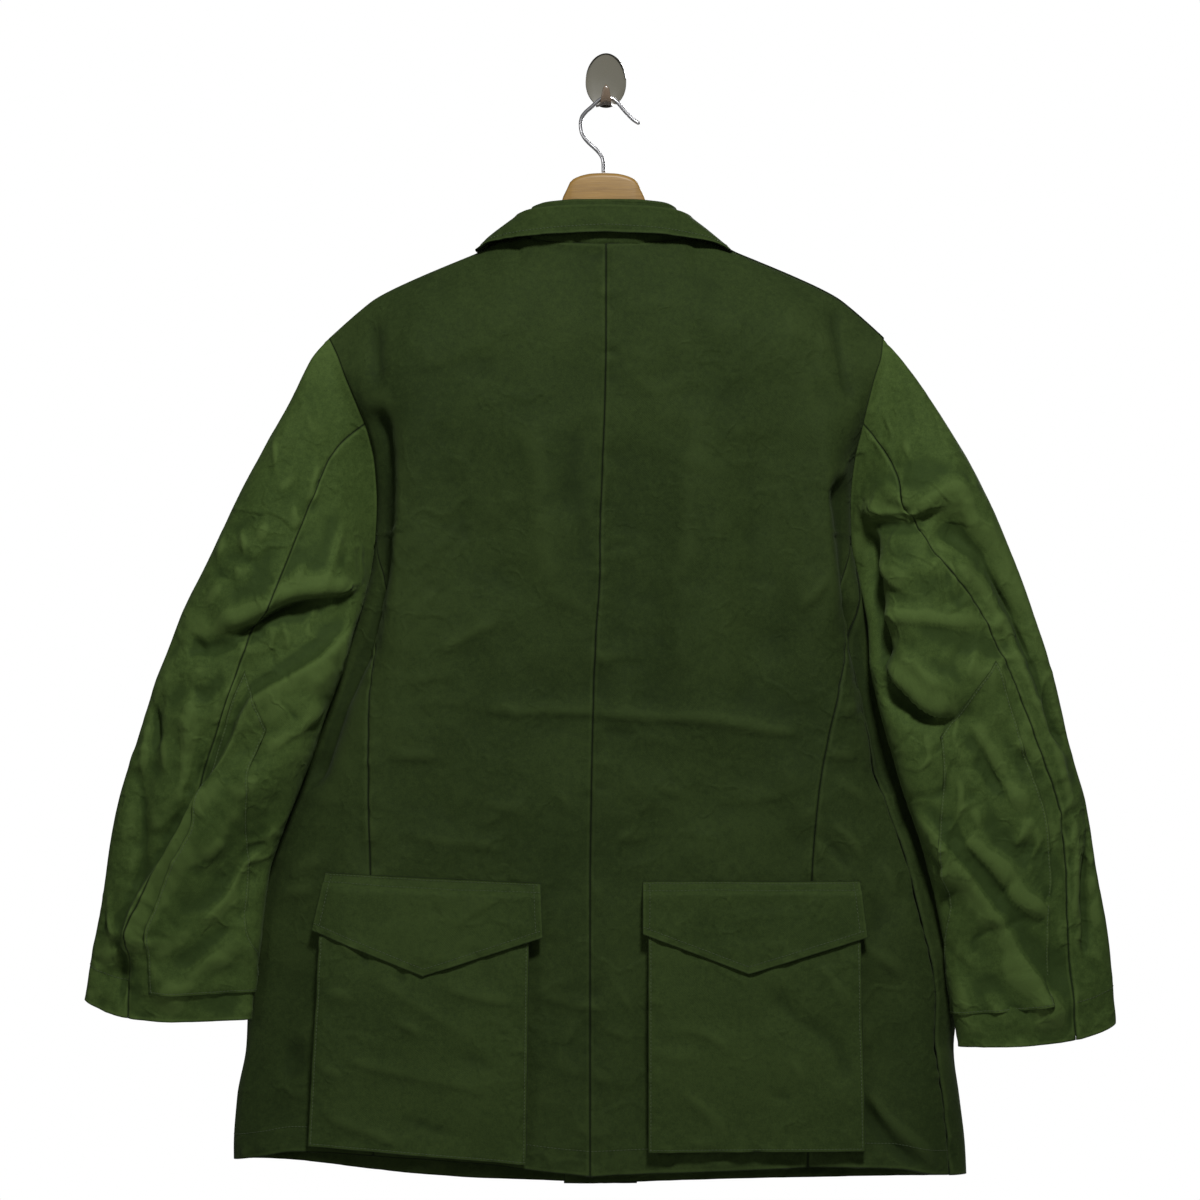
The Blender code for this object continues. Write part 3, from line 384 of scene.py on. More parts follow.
# %% The curves of all tables
edge = columns_of(EDGE, EDGE_COLUMNS)
body = columns_of(BODY, BODY_COLUMNS)
top = columns_of(TOP, TOP_COLUMNS)
hem = columns_of(HEM, HEM_COLUMNS)
sleeves = {"left": columns_of(SLEEVE_LEFT, SLEEVE_COLUMNS), "right": columns_of(SLEEVE_RIGHT, SLEEVE_COLUMNS)}
back_seam = columns_of(BACK_SEAM, BACK_SEAM_COLUMNS)
patch_edge = columns_of(PATCH_EDGE, PATCH_EDGE_COLUMNS)
collar = columns_of(COLLAR, COLLAR_COLUMNS)
hanger = columns_of(HANGER, HANGER_COLUMNS)
prong = columns_of(PRONG, PRONG_COLUMNS)
tables = (edge, body, top, hem, *sleeves.values(), back_seam, patch_edge, collar, hanger, prong)
print("curves read:", sum(len(columns) for columns in tables))


# %% Blends
def blend(a, b, share):
    return a + (b - a) * share


def ease(q):
    """Quick at first, then slower towards 1."""
    return 1 - (1 - np.clip(q, 0, 1)) ** 2


def smooth(q):
    """Slow at both ends."""
    q = np.clip(q, 0, 1)
    return q * q * (3 - 2 * q)


def bump(distance, width):
    """A round-topped ridge."""
    return np.exp(-((distance / width) ** 2))


def rise(distance, low, high, fold, run):
    """From low to high: a tight round fold first, and then a long soft run."""
    fold = np.minimum(fold, 0.5 * np.abs(high - low)) + 1e-6
    turn = np.sqrt(1 - (1 - np.clip(distance / fold, 0, 1)) ** 2)
    way = np.sign(high - low)
    return low + way * fold * turn + (high - low - way * fold) * ease(distance / run)


print("blends ready")

# %% [markdown]
# ## Folds
#
# A fold in hung cloth is a soft ridge with a trough beside it, along a line that bows a little. The main
# folds are placed one by one, as a sculptor would, because each one has a cause: the sleeve hangs from the
# shoulder, the elbow has been bent, and the pockets pull at the back. A row gives the fold's two ends,
# how far it bows to the side, its width and its height, with a trough as a negative height.

# %% The large folds, which the solids have too
BODY_FOLDS = (
    (-95, 240, -30, 500, -12, 40, 5.0),
    (112, 215, 84, 560, 8, 34, 6.0),
    (30, 300, 34, 590, 0, 34, -4.5),
    (150, 290, 145, 560, 6, 30, -5.5),
    (188, 300, 176, 520, 4, 22, 4.0),
    (-176, 230, -158, 470, -5, 24, 4.5),
    (-140, 330, -128, 620, 0, 30, -3.5),
    (60, 640, 20, 700, 6, 26, -3.0),
    (-240, 640, -286, 900, 10, 24, -4.5),
    (262, 700, 282, 930, -8, 22, 4.0),
    (240, 780, 292, 955, 10, 24, -5.0),
)
LEFT_SLEEVE_FOLDS = (
    (-222, 470, -334, 560, 12, 16, -8.0),
    (-232, 520, -352, 650, -8, 20, 7.0),
    (-250, 590, -388, 745, 14, 20, 6.5),
    (-300, 585, -392, 710, 16, 15, -6.0),
    (-270, 650, -340, 740, 8, 18, -5.0),
    (-396, 560, -408, 700, 6, 14, -6.0),
    (-300, 260, -300, 400, -6, 20, 4.0),
)
RIGHT_SLEEVE_FOLDS = (
    (224, 388, 300, 392, -4, 13, -9.0),
    (228, 418, 330, 440, 4, 24, 8.0),
    (286, 392, 370, 560, -10, 16, -7.0),
    (236, 478, 330, 495, 0, 16, 4.0),
    (244, 540, 322, 570, 6, 13, -9.0),
    (250, 575, 400, 840, 12, 22, 7.0),
    (300, 660, 372, 800, 10, 20, -6.0),
    (400, 560, 436, 760, 6, 15, -6.0),
)
HIDDEN_FOLDS = (
    (-320, 430, -240, 560, 10, 20, -6.0),
    (-380, 560, -270, 640, -10, 20, 5.0),
    (-400, 650, -300, 730, 8, 18, -5.0),
    (320, 420, 240, 560, -10, 20, -6.0),
    (380, 560, 275, 650, 10, 20, 5.0),
    (415, 660, 300, 740, -8, 18, -5.0),
)
FOLD_PIECES = 8
print("large folds:", len(BODY_FOLDS + LEFT_SLEEVE_FOLDS + RIGHT_SLEEVE_FOLDS + HIDDEN_FOLDS))

# %% [markdown]
# The finer creases need more than a smooth swell. A crease in crushed cotton laps over: one side falls away
# steeply, the other runs out gently, and its edge leans towards the steep side. A row gives the crease's
# height, its widths on the left and on the right hand as one walks along it, and then the places that it
# passes through, across and down in turn.

# %% The creases of the back
# The two rows of height -10 and -9.4 are the hollows beside the sleeves.
BACK_CREASES = (
    (-4.0, 9, 9, -206, 207, -203, 250, -199, 286),
    (-4.0, 9, 9, 202, 198, 207, 245, 216, 295),
    (-10.0, 11, 10, -199, 290, -200, 370, -203, 430, -212, 482, -228, 530, -246, 582, -264, 636),
    (-9.4, 10, 11, 208, 350, 214, 420, 222, 480, 231, 530, 241, 580, 254, 640),
    (2.2, 22, 22, -62, 290, -60, 380, -52, 460),
    (-2.0, 16, 16, -25, 300, -30, 380, -22, 446),
    (-1.6, 20, 20, 15, 320, 20, 420, 10, 510),
    (2.4, 22, 22, 80, 280, 74, 400, 64, 530),
    (-2.8, 30, 30, 122, 310, 132, 430, 122, 570),
    (2.4, 4, 16, -32, 372, -29, 414, -17, 434),
    (2.4, 14, 5, -152, 512, -125, 496, -98, 483, -86, 478),
    (2.6, 10, 3.2, -120, 556, -76, 562, -43, 561, -10, 563, 31, 566, 84, 568, 130, 576, 180, 581),
    (-1.6, 8, 8, -8, 577, 20, 580, 44, 578),
    (2.4, 8, 3, -197, 600, -170, 601, -142, 602),
    (1.8, 3, 6, -10, 500, 1, 519, 14, 523),
    (1.4, 3, 8, -6, 428, 20, 422, 41, 413),
    (1.5, 7, 3, -3, 408, 41, 411),
    (1.6, 7, 3, -14, 515, 20, 513, 48, 515),
    (2.6, 9, 4, 161, 476, 183, 460, 200, 437),
    (1.6, 4, 6, -47, 626, -25, 652),
    (1.6, 8, 4, -119, 665, -88, 649),
    (1.8, 7, 3, 2, 674, 41, 670),
    (1.5, 8, 4, -193, 666, -139, 675, -82, 682),
    (1.6, 5, 3, -3, 601, 8, 615),
    (1.8, 8, 3, -67, 808, -30, 818, 17, 823),
    (1.7, 7, 3, -14, 836, 30, 849),
    (1.8, 7, 4, -5, 783, 14, 806, 30, 840),
    (-2.8, 6, 5, 186, 668, 199, 680, 217, 703),
    (2.6, 7, 4, 192, 656, 210, 668, 232, 700),
    (3.0, 14, 5, 226, 764, 246, 781, 266, 797),
    (-2.2, 14, 14, 232, 718, 240, 740, 244, 760),
    (4.0, 16, 4.5, 229, 886, 240, 908, 260, 931, 288, 956, 298, 963),
    (-4.0, 4.5, 12, 226, 896, 238, 920, 256, 943, 282, 962),
    (2.8, 9, 4, -290, 724, -270, 721, -252, 717),
    (2.6, 9, 4, -280, 709, -262, 697, -245, 689),
    (-3.2, 9, 9, -281, 846, -279, 870, -280, 896),
    (1.5, 9, 4, -120, 640, -90, 644, -60, 652),
    (1.4, 9, 4, 96, 640, 130, 638, 170, 632),
    (-1.5, 12, 12, -150, 300, -136, 360, -120, 420),
    (2.6, 8, 3, 189, 600, 206, 600, 224, 603),
    (2.0, 8, 5, 202, 566, 214, 560, 226, 554),
    (2.0, 8, 5, 198, 620, 222, 634, 236, 652),
    (2.2, 8, 5, 236, 690, 250, 706, 256, 730),
    (1.3, 6, 3, -60, 452, -34, 462, -16, 480),
    (1.3, 6, 3, 36, 620, 66, 634, 84, 640),
    (1.2, 5, 3, -96, 300, -76, 318, -64, 344),
    (1.2, 6, 3, 20, 262, 46, 280, 88, 270),
    (1.2, 5, 4, 110, 300, 122, 330, 126, 366),
    (1.2, 9, 5, -180, 560, -150, 552, -110, 556),
    (1.3, 9, 4, -190, 540, -166, 532, -120, 530),
    (1.2, 8, 4, -170, 262, -130, 250, -96, 232),
    (1.1, 8, 4, 40, 700, 56, 740, 50, 790),
    (1.3, 9, 4, -50, 862, -20, 880, 16, 886),
    (1.4, 9, 4, -40, 920, -10, 930, 20, 926),
)
print("creases of the back:", len(BACK_CREASES))

# %% The creases of the left sleeve
LEFT_SLEEVE_CREASES = (
    (8.0, 24, 4.5, -347, 490, -322, 482, -300, 472, -276, 459, -250, 455, -212, 452),
    (-9.0, 4, 12, -332, 503, -304, 487, -291, 478, -270, 470, -238, 465),
    (7.0, 26, 4.5, -217, 477, -248, 515, -284, 539, -308, 555, -327, 591, -347, 627, -363, 659, -379, 687,
     -403, 718, -415, 746, -421, 778),
    (4.4, 14, 4, -302, 606, -288, 591, -264, 571, -238, 548),
    (4.8, 16, 4.5, -288, 672, -315, 694, -331, 722, -358, 752),
    (4.2, 14, 4.5, -260, 622, -288, 662, -310, 677),
    (-6.5, 6, 6, -401, 546, -393, 583, -398, 606),
    (4.0, 9, 7, -361, 540, -365, 603, -368, 628),
    (3.2, 7, 7, -399, 560, -405, 605, -402, 644),
    (-4.5, 10, 4, -374, 511, -345, 505, -314, 503),
    (-3.2, 4, 4, -366, 492, -347, 513),
    (2.6, 4, 6, -331, 401, -337, 418, -343, 434),
    (2.2, 4, 4, -294, 392, -304, 414),
    (2.4, 4, 5, -272, 376, -272, 406),
    (2.2, 4, 4, -318, 400, -315, 426),
    (2.2, 5, 5, -292, 312, -288, 358),
    (2.8, 6, 6, -227, 389, -240, 424, -255, 463),
    (3.0, 6, 4, -283, 481, -275, 513),
    (-5.5, 5, 5, -432, 752, -423, 782, -426, 826),
    (3.2, 6, 4, -439, 731, -428, 766),
    (-3.6, 10, 8, -407, 603, -403, 663, -408, 722, -420, 740),
    (2.4, 6, 5, -387, 580, -383, 624),
    (2.2, 6, 4, -250, 336, -262, 378),
    (2.4, 6, 5, -330, 448, -354, 472),
    (2.2, 4, 6, -262, 428, -276, 454),
    (2.4, 5, 5, -306, 428, -322, 454),
    (3.0, 8, 5, -288, 690, -297, 742),
    (2.6, 7, 4, -334, 768, -374, 801),
    (2.4, 6, 5, -388, 796, -370, 830),
    (2.6, 7, 5, -238, 518, -262, 548),
    (2.4, 6, 4, -374, 642, -362, 598),
    (2.4, 8, 4, -324, 640, -300, 616),
    (2.2, 7, 4, -352, 694, -330, 668),
    (2.0, 7, 4, -268, 352, -290, 372),
    (2.6, 8, 4, -318, 520, -338, 556),
    (2.2, 6, 4, -344, 330, -352, 368),
)
print("creases of the left sleeve:", len(LEFT_SLEEVE_CREASES))

# %% The creases of the right sleeve
RIGHT_SLEEVE_CREASES = (
    (6.0, 24, 4.5, 213, 384, 240, 389, 267, 390, 281, 383, 304, 379),
    (-4.8, 4, 9, 219, 394, 245, 397, 272, 396, 286, 389),
    (-15.0, 9, 10, 224, 390, 227, 425, 231, 466, 235, 500, 241, 530),
    (4.0, 12, 3.5, 286, 413, 309, 419, 333, 428),
    (-9.0, 22, 12, 285, 391, 335, 433, 361, 484, 386, 550, 405, 602),
    (5.0, 10, 9, 298, 422, 330, 455, 350, 484, 365, 521, 383, 565, 397, 609, 408, 652),
    (-6.0, 7, 4, 418, 620, 423, 671, 420, 708, 421, 737, 419, 784),
    (3.2, 9, 8, 407, 648, 411, 700, 408, 756),
    (4.0, 12, 3.5, 231, 423, 254, 449, 272, 457),
    (2.4, 8, 3, 246, 431, 268, 448),
    (4.5, 15, 3.5, 229, 479, 262, 480, 295, 483, 335, 487),
    (9.0, 18, 4.5, 239, 512, 262, 537, 284, 554, 313, 564),
    (-4.8, 4, 12, 242, 529, 264, 549, 292, 567),
    (3.6, 9, 9, 242, 496, 273, 522, 302, 549),
    (5.0, 20, 4.5, 313, 563, 335, 598, 350, 627, 370, 654),
    (3.4, 8, 3, 351, 581, 372, 600, 384, 617),
    (6.0, 5, 24, 266, 641, 298, 682, 324, 719, 350, 759, 372, 792, 394, 829, 406, 842),
    (5.5, 11, 4.5, 303, 661, 335, 693, 361, 726, 397, 746),
    (2.8, 5, 5, 302, 610, 309, 631, 307, 659),
    (3.4, 4, 8, 289, 666, 296, 694, 299, 724),
    (2.8, 5, 5, 345, 665, 357, 675, 372, 648),
    (2.6, 10, 4, 326, 737, 352, 749),
    (2.8, 8, 4, 370, 812, 396, 838),
    (2.4, 6, 3.5, 259, 320, 269, 344),
    (3.0, 12, 4, 270, 384, 300, 369, 324, 388),
    (2.6, 10, 4, 238, 364, 262, 374, 279, 386),
    (1.8, 6, 5, 283, 354, 320, 368),
    (2.4, 6, 4, 328, 798, 354, 840),
    (2.4, 5, 5, 317, 638, 331, 670),
    (2.2, 5, 5, 279, 738, 297, 802),
    (2.8, 6, 4, 251, 598, 263, 642),
    (2.2, 6, 4, 377, 638, 397, 692),
    (2.0, 6, 4, 322, 500, 314, 540),
    (2.2, 6, 4, 300, 590, 330, 640),
    (2.0, 6, 4, 392, 700, 398, 760),
    (2.2, 6, 4, 296, 760, 330, 790),
)
print("creases of the right sleeve:", len(RIGHT_SLEEVE_CREASES))

# %% The same kinds of crease on the sides that the wall hides
FRONT_CREASES = (
    (1.6, 10, 5, -200, 300, -130, 322, -60, 330),
    (1.6, 10, 5, 60, 340, 140, 326, 210, 300),
    (1.6, 10, 4, -230, 560, -150, 580, -80, 590),
    (1.6, 10, 4, 70, 560, 160, 588, 240, 600),
    (1.8, 9, 4, -260, 720, -190, 716, -120, 700),
    (1.8, 9, 4, 110, 700, 190, 726, 270, 740),
    (1.5, 9, 4, -300, 860, -220, 876, -150, 880),
    (1.5, 9, 4, 150, 880, 230, 876, 300, 860),
)
HIDDEN_SLEEVE_CREASES = (
    (3.6, 14, 5, -245, 450, -300, 478, -340, 520),
    (3.4, 14, 5, -255, 520, -320, 556, -375, 610),
    (3.4, 14, 5, -285, 600, -350, 622, -400, 660),
    (3.0, 12, 5, -305, 690, -370, 706, -425, 740),
    (2.6, 10, 5, -340, 760, -390, 764, -440, 780),
    (3.6, 5, 14, 240, 440, 300, 474, 345, 520),
    (3.4, 5, 14, 255, 520, 318, 552, 372, 600),
    (3.4, 5, 14, 285, 610, 348, 632, 402, 670),
    (3.0, 5, 12, 305, 700, 368, 718, 422, 750),
    (2.6, 5, 10, 340, 780, 390, 784, 432, 800),
)
print("creases on the hidden sides:", len(FRONT_CREASES + HIDDEN_SLEEVE_CREASES))

# %% The shape of a crease
CREASE_PIECES = 22
CREASE_END = 26.0
LEAN = 0.3
BACK_DEPTH, POCKET_DEPTH = 1.5, 1.7
SLEEVE_DEPTH, SLEEVE_CRUMPLE = 1.6, 1.6


def pinch(distance, width):
    """A sharp-topped ridge."""
    return np.exp(-1.5 * (np.sqrt((distance / width) ** 2 + 0.04) - 0.2))


def crease_path(places):
    """Points at even steps along a curve through the places, and its length."""
    spots = np.array(places, float).reshape(-1, 2)
    run = np.concatenate(([0.0], np.cumsum(np.linalg.norm(np.diff(spots, axis=0), axis=1))))
    at = np.linspace(0, run[-1], CREASE_PIECES + 1)
    across, down = (curve_through(run, spots[:, axis])(at) for axis in (0, 1))
    return np.stack((across, down), axis=-1), run[-1]


path, length = crease_path(LEFT_SLEEVE_CREASES[0][3:])
print("length of the left sleeve's first crease:", round(float(length)), "mm")


# %% The height of creases at any place
def creases_at(creases, across, down):
    """The heights of creases at many places, and how far the cloth there has leant across and down."""
    shape = np.broadcast(across, down).shape
    total, leant = np.zeros(shape), np.zeros(shape + (2,))
    for height, left, right, *places in creases:
        path, length = crease_path(places)
        reach = 3.2 * max(left, right)
        near = (across > path[:, 0].min() - reach) & (across < path[:, 0].max() + reach)
        near &= (down > path[:, 1].min() - reach) & (down < path[:, 1].max() + reach)
        if not near.any():
            continue
        spot = np.stack((across[near], down[near]), axis=-1)
        nearest = np.full(len(spot), np.inf)
        along, hand, way = np.zeros(len(spot)), np.ones(len(spot)), np.zeros((len(spot), 2))
        for i in range(CREASE_PIECES):
            run = path[i + 1] - path[i]
            share = np.clip(((spot - path[i]) @ run) / (run @ run), 0, 1)
            off = spot - path[i] - share[:, None] * run
            distance = np.hypot(off[:, 0], off[:, 1])
            side = np.array((-run[1], run[0])) / math.hypot(*run)
            closer = distance < nearest
            nearest = np.where(closer, distance, nearest)
            along = np.where(closer, (i + share) / CREASE_PIECES, along)
            hand = np.where(closer, np.sign(off @ side), hand)
            way = np.where(closer[:, None], side, way)
        end = min(CREASE_END, 0.4 * length)
        fade = smooth(along * length / end) * smooth((1 - along) * length / end)
        shape_here = pinch(nearest, np.where(hand > 0, right, left)) * fade
        total[near] += height * shape_here
        steep = (left - right) / max(left, right)
        leant[near] += way * (LEAN * abs(height) * steep * shape_here)[:, None]
    return total, leant


sample = creases_at(BACK_CREASES, np.array([10.0]), np.array([563.0]))[0]
print("height of the crease between the pockets and the neck:", round(float(sample[0]), 1), "mm")


# %% The height of folds at any place
def folds_at(folds, across, down):
    total = np.zeros(np.broadcast(across, down).shape)
    for ax, ad, bx, bd, bow, width, height in folds:
        length = math.hypot(bx - ax, bd - ad)
        side = (-(bd - ad) / length, (bx - ax) / length)
        reach = 2.6 * width + abs(bow)
        near = (across > min(ax, bx) - reach) & (across < max(ax, bx) + reach)
        near &= (down > min(ad, bd) - reach) & (down < max(ad, bd) + reach)
        if not near.any():
            continue
        x, y = across[near], down[near]
        nearest = np.full(x.shape, np.inf)
        along = np.zeros(x.shape)
        for piece in range(FOLD_PIECES):
            t0, t1 = piece / FOLD_PIECES, (piece + 1) / FOLD_PIECES
            lines = ((ax, bx, side[0]), (ad, bd, side[1]))
            p0 = [blend(a, b, t0) + s * bow * 4 * t0 * (1 - t0) for a, b, s in lines]
            p1 = [blend(a, b, t1) + s * bow * 4 * t1 * (1 - t1) for a, b, s in lines]
            run = (p1[0] - p0[0], p1[1] - p0[1])
            share = np.clip(((x - p0[0]) * run[0] + (y - p0[1]) * run[1]) / (run[0] ** 2 + run[1] ** 2), 0, 1)
            distance = np.hypot(x - p0[0] - share * run[0], y - p0[1] - share * run[1])
            closer = distance < nearest
            nearest = np.where(closer, distance, nearest)
            along = np.where(closer, blend(t0, t1, share), along)
        total[near] += height * (0.35 + 0.65 * np.sin(np.pi * along)) * bump(nearest, width)
    return total


sample = folds_at(BODY_FOLDS, np.array([100.0]), np.array([380.0]))
print("height of the fold right of the middle:", round(float(sample[0]), 1), "mm")

# %% [markdown]
# ## Small crumples
#
# Between the named folds, washed cotton is never flat. Random bumps of a few sizes stand for that: broad
# ones for the slackness of the cloth, and fine crease lines where a random height passes through zero,
# which gives the long wandering lines of crushed cloth. The seed is fixed, so every run gives the same
# jacket.

# %% Random bumps and crease lines
LATTICE = 97


def bumps(across, down, size, seed, turn=0.0, stretch=1.0):
    """Smooth random heights of about 1, a given size apart, from a lattice of random values."""
    lattice = np.random.default_rng(seed).standard_normal((LATTICE, LATTICE))
    c, s = math.cos(math.radians(turn)), math.sin(math.radians(turn))
    x = (across * c + down * s) / (size * stretch) + 400.5
    y = (down * c - across * s) / size + 400.5
    i, j = np.floor(x).astype(int), np.floor(y).astype(int)
    fx, fy = x - i, y - j
    fx = fx**3 * (fx * (fx * 6 - 15) + 10)
    fy = fy**3 * (fy * (fy * 6 - 15) + 10)
    i0, i1, j0, j1 = i % LATTICE, (i + 1) % LATTICE, j % LATTICE, (j + 1) % LATTICE
    low = blend(lattice[i0, j0], lattice[i1, j0], fx)
    high = blend(lattice[i0, j1], lattice[i1, j1], fx)
    return blend(low, high, fy)


def crease_lines(across, down, size, seed, turn=0.0, stretch=1.0):
    """Ridges along the lines where a random height passes through zero."""
    field = bumps(across, down, size, seed, turn, stretch)
    field = field + 0.5 * bumps(across, down, size * 0.55, seed + 1, turn + 30, stretch)
    where = np.clip(bumps(across, down, size * 1.8, seed + 2) + 0.35, 0, 1.2)
    return bump(field, 0.16) * where


def slack(across, down, seed):
    """The gentle unevenness of the back and the fronts."""
    soft = 1.7 * bumps(across, down, 66, seed) + 0.8 * bumps(across, down, 27, seed + 3, 20)
    fine = 0.22 * bumps(across, down, 10, seed + 5, 50) + 0.09 * bumps(across, down, 6.0, seed + 6, 10)
    return soft + fine + 0.75 * crease_lines(across, down, 48, seed + 7, 8, 1.9)


def crumple(across, down, seed, turn):
    """The stronger crumples of a sleeve, drawn out along its folds."""
    soft = 1.7 * bumps(across, down, 40, seed, turn, 1.9) + 0.9 * bumps(across, down, 18, seed + 3, turn, 1.6)
    fine = 0.30 * bumps(across, down, 9, seed + 5, turn + 20, 1.3) + 0.1 * bumps(across, down, 5, seed + 6)
    lines = 1.6 * crease_lines(across, down, 36, seed + 7, turn, 1.8)
    return soft + fine + lines - 1.2 * crease_lines(across, down, 27, seed + 11, turn + 35, 1.6)


print("random heights in a lattice:", LATTICE**2)

# %% [markdown]
# ## The body's form
#
# The body is a flat tube. Its cloth is described by how far round it is, from the middle of the back to the
# middle of the front, and by its level between neck and hem. The same few lines that shaped the solids are
# used here on whole arrays, so both agree to a hair.

# %% Where the body's cloth hangs out from the wall
def edge_across(side, down):
    return edge[side](down)


def top_down(across, face):
    return top[face](np.abs(across))


def middle_across(down, face):
    if face == "back":
        return body["back_seam"](down)
    return FRONT_CENTRE * smooth((down - TIP_DOWN) / CENTRE_DRIFT)


def body_out(side, across, down, face):
    neck = np.sqrt(np.clip(1 - (across / NECK_HALF_WIDTH) ** 2, 0, 1))
    neck_out = NECK_BACK_OUT if face == "back" else NECK_FRONT_OUT
    drop = BACK_DROP if face == "back" else FRONT_DROP
    top_out = RIDGE_OUT + (neck_out - RIDGE_OUT) * neck
    below = down - top_down(across, face)
    crest = rise(below, top_out, body[face + "_out"](down), SHOULDER_FOLD * (1 - neck), drop)
    inside = np.abs(edge_across(side, down) - across)
    run = edge["run"](down) if face == "back" else FRONT_RUN
    out = rise(inside, edge[face + "_out"](down), crest, edge["fold"](down), run)
    if face == "back":
        out = out + folds_at(BODY_FOLDS, across, down) * smooth(inside / 40) * smooth(below / 60)
    return out


def lap_step(side, across, face):
    if side == "left" or face == "back":
        return 0.0
    return LAP_STEP * (1 - smooth((across - FRONT_CENTRE - LAP) / LAP_EASE))


print("the back's middle hangs", round(float(body["back_out"](550.0)), 1), "mm out from the wall")


# %% The whole body, round it and down it
def level_down(side, level):
    above = blend(UNDERARM_DOWN, TIP_DOWN, level)
    below = blend(UNDERARM_DOWN, hem[side + "_back"](1.0), -level)
    return np.where(level >= 0, above, below)


def body_face(side, s, level, face):
    reach = np.clip(1 - np.abs(1 - s) ** CROWDING, -1, 1)
    held = np.maximum(reach, 0)
    above = blend(UNDERARM_DOWN, top_down(SHOULDER_TIP[side] * held, face), level)
    below = blend(UNDERARM_DOWN, hem[side + "_" + face](held), -level)
    down = np.where(level >= 0, above, below)
    middle = middle_across(down, face)
    across = middle + (edge_across(side, level_down(side, level)) - middle) * reach
    out = body_out(side, across, down, face) + lap_step(side, across, face)
    return np.stack((across, out, down), axis=-1)


def body_at(side, s, level):
    """Points of the body's cloth: s is 0 in the middle of the back, 1 at the edge and 2 in front."""
    back = body_face(side, np.minimum(s, 1.0), level, "back")
    front = body_face(side, np.maximum(s, 1.0), level, "front")
    return np.where((s <= 1)[..., None], back, front)


def reach_to_s(side, across, level, face):
    down = level_down(side, level)
    middle = middle_across(down, face)
    reach = np.minimum((across - middle) / (edge_across(side, down) - middle), 1.0)
    away = (1 - reach) ** (1 / CROWDING)
    return 1 - away if face == "back" else 1 + away


nape = body_at("left", np.array([0.0]), np.array([1.0]))[0]
print("the nape lies at", [round(float(x), 1) for x in nape])


# %% Where its seams run
def back_panel_edge(side, level):
    down = level_down(side, level)
    armhole = np.abs(edge_across(side, down)) - 1.2
    way = -1 if side == "left" else 1
    across = way * np.minimum(np.abs(body[side + "_seam"](down)), armhole)
    return np.where(level > SIDE_BACK_TOP + 1e-6, 1.0, reach_to_s(side, across, level, "back"))


def side_seam(side, level):
    down = level_down(side, level)
    way = -1 if side == "left" else 1
    across = edge_across(side, down) - way * body["right_side"](down)
    face = "back" if side == "right" else "front"
    return np.where(level >= 0, 1.0, reach_to_s(side, across, level, face))


for side in ("left", "right"):
    print(f"{side} side seam at the hem:", round(float(side_seam(side, np.array([-1.0]))[0]), 2))

# %% [markdown]
# ## The sleeves' form
#
# A sleeve is a tube that starts at the armhole and slumps down the body's side. An angle goes round it, from
# 0 at its outer corner over the back to 180 at its inner corner, and a section number goes down it.

# %% Where a sleeve's cloth hangs
UNDERARM_TUCK_SECTION, UNDERARM_TUCK_LENGTH, UNDERARM_TUCK_ANGLE = 1.2, 1.1, 45.0


def sleeve_at(side, section, angle):
    """Points of a sleeve's cloth, whose inner corner is tucked in under the body's edge at the armhole."""
    table = sleeves[side]
    section = np.clip(section, 0.0, LAST_SECTION)
    angle = np.where(angle < 0, angle + 360, angle)
    turn = np.radians(angle)
    share = (1 - np.cos(turn)) / 2
    back = angle <= 180
    seam_down = blend(TIP_DOWN, UNDERARM_DOWN, share)
    fade = 1 - ease(section / 2)
    ways = ("across", "down")
    flat = [blend(table["outer_" + k](section), table["inner_" + k](section), share) for k in ways]
    start = [blend(table["outer_" + k](0.0), table["inner_" + k](0.0), share) for k in ways]
    across = flat[0] + (edge_across(side, seam_down) - start[0]) * fade
    down = flat[1] + (seam_down - start[1]) * fade
    down = down + CUFF_BOW[side] * np.sin(np.pi * share**0.65) * smooth((section - 9) / 4)
    way = np.where(back, 1.0, -1.0)
    fullness = np.abs(np.sin(turn)) ** SLEEVE_FULLNESS * way
    round_out = table["middle_out"](section) + table["half_depth"](section) * fullness
    seam_out = np.where(back, edge["back_out"](seam_down), edge["front_out"](seam_down))
    out = blend(seam_out, round_out, ease(section / ARMHOLE_EASE))
    seen = folds_at(LEFT_SLEEVE_FOLDS if side == "left" else RIGHT_SLEEVE_FOLDS, across, down)
    folds = np.where(back, seen, folds_at(HIDDEN_FOLDS, across, down))
    facing = smooth(np.abs(np.sin(turn)) / 0.7) * smooth(section / 2)
    out = out + folds * facing * np.where(back, 1.0, -0.7)
    tuck = UNDERARM_TUCK * bump(section - UNDERARM_TUCK_SECTION, UNDERARM_TUCK_LENGTH)
    tuck = tuck * bump(angle - 180, UNDERARM_TUCK_ANGLE)
    across = across + tuck * (1 if side == "left" else -1)
    return np.stack((across, out, down), axis=-1)


elbow = sleeve_at("left", np.array([8.0]), np.array([90.0]))[0]
print("the left elbow lies at", [round(float(x), 1) for x in elbow])


# %% [markdown]
# ## Making a sheet of cloth
#
# Every panel is made in one way. A flat grid is laid out, each of its points is placed on the form, and the
# points are then moved along the surface's own normals by the height of the creases there. Near a seam the
# sheet dips, because the real cloth is turned in there and sewn down, and beside the dip it swells a little.
# The grid's cells are narrow along the seams so that the dip stays crisp. Solidify gives the cloth its
# thickness, inwards, at the end.

# %% Grids of points
def world(points):
    points = np.asarray(points, float)
    return np.stack((points[..., 0], -points[..., 1], -points[..., 2]), axis=-1) * MM


def unit(vectors):
    return vectors / (np.linalg.norm(vectors, axis=-1, keepdims=True) + 1e-12)


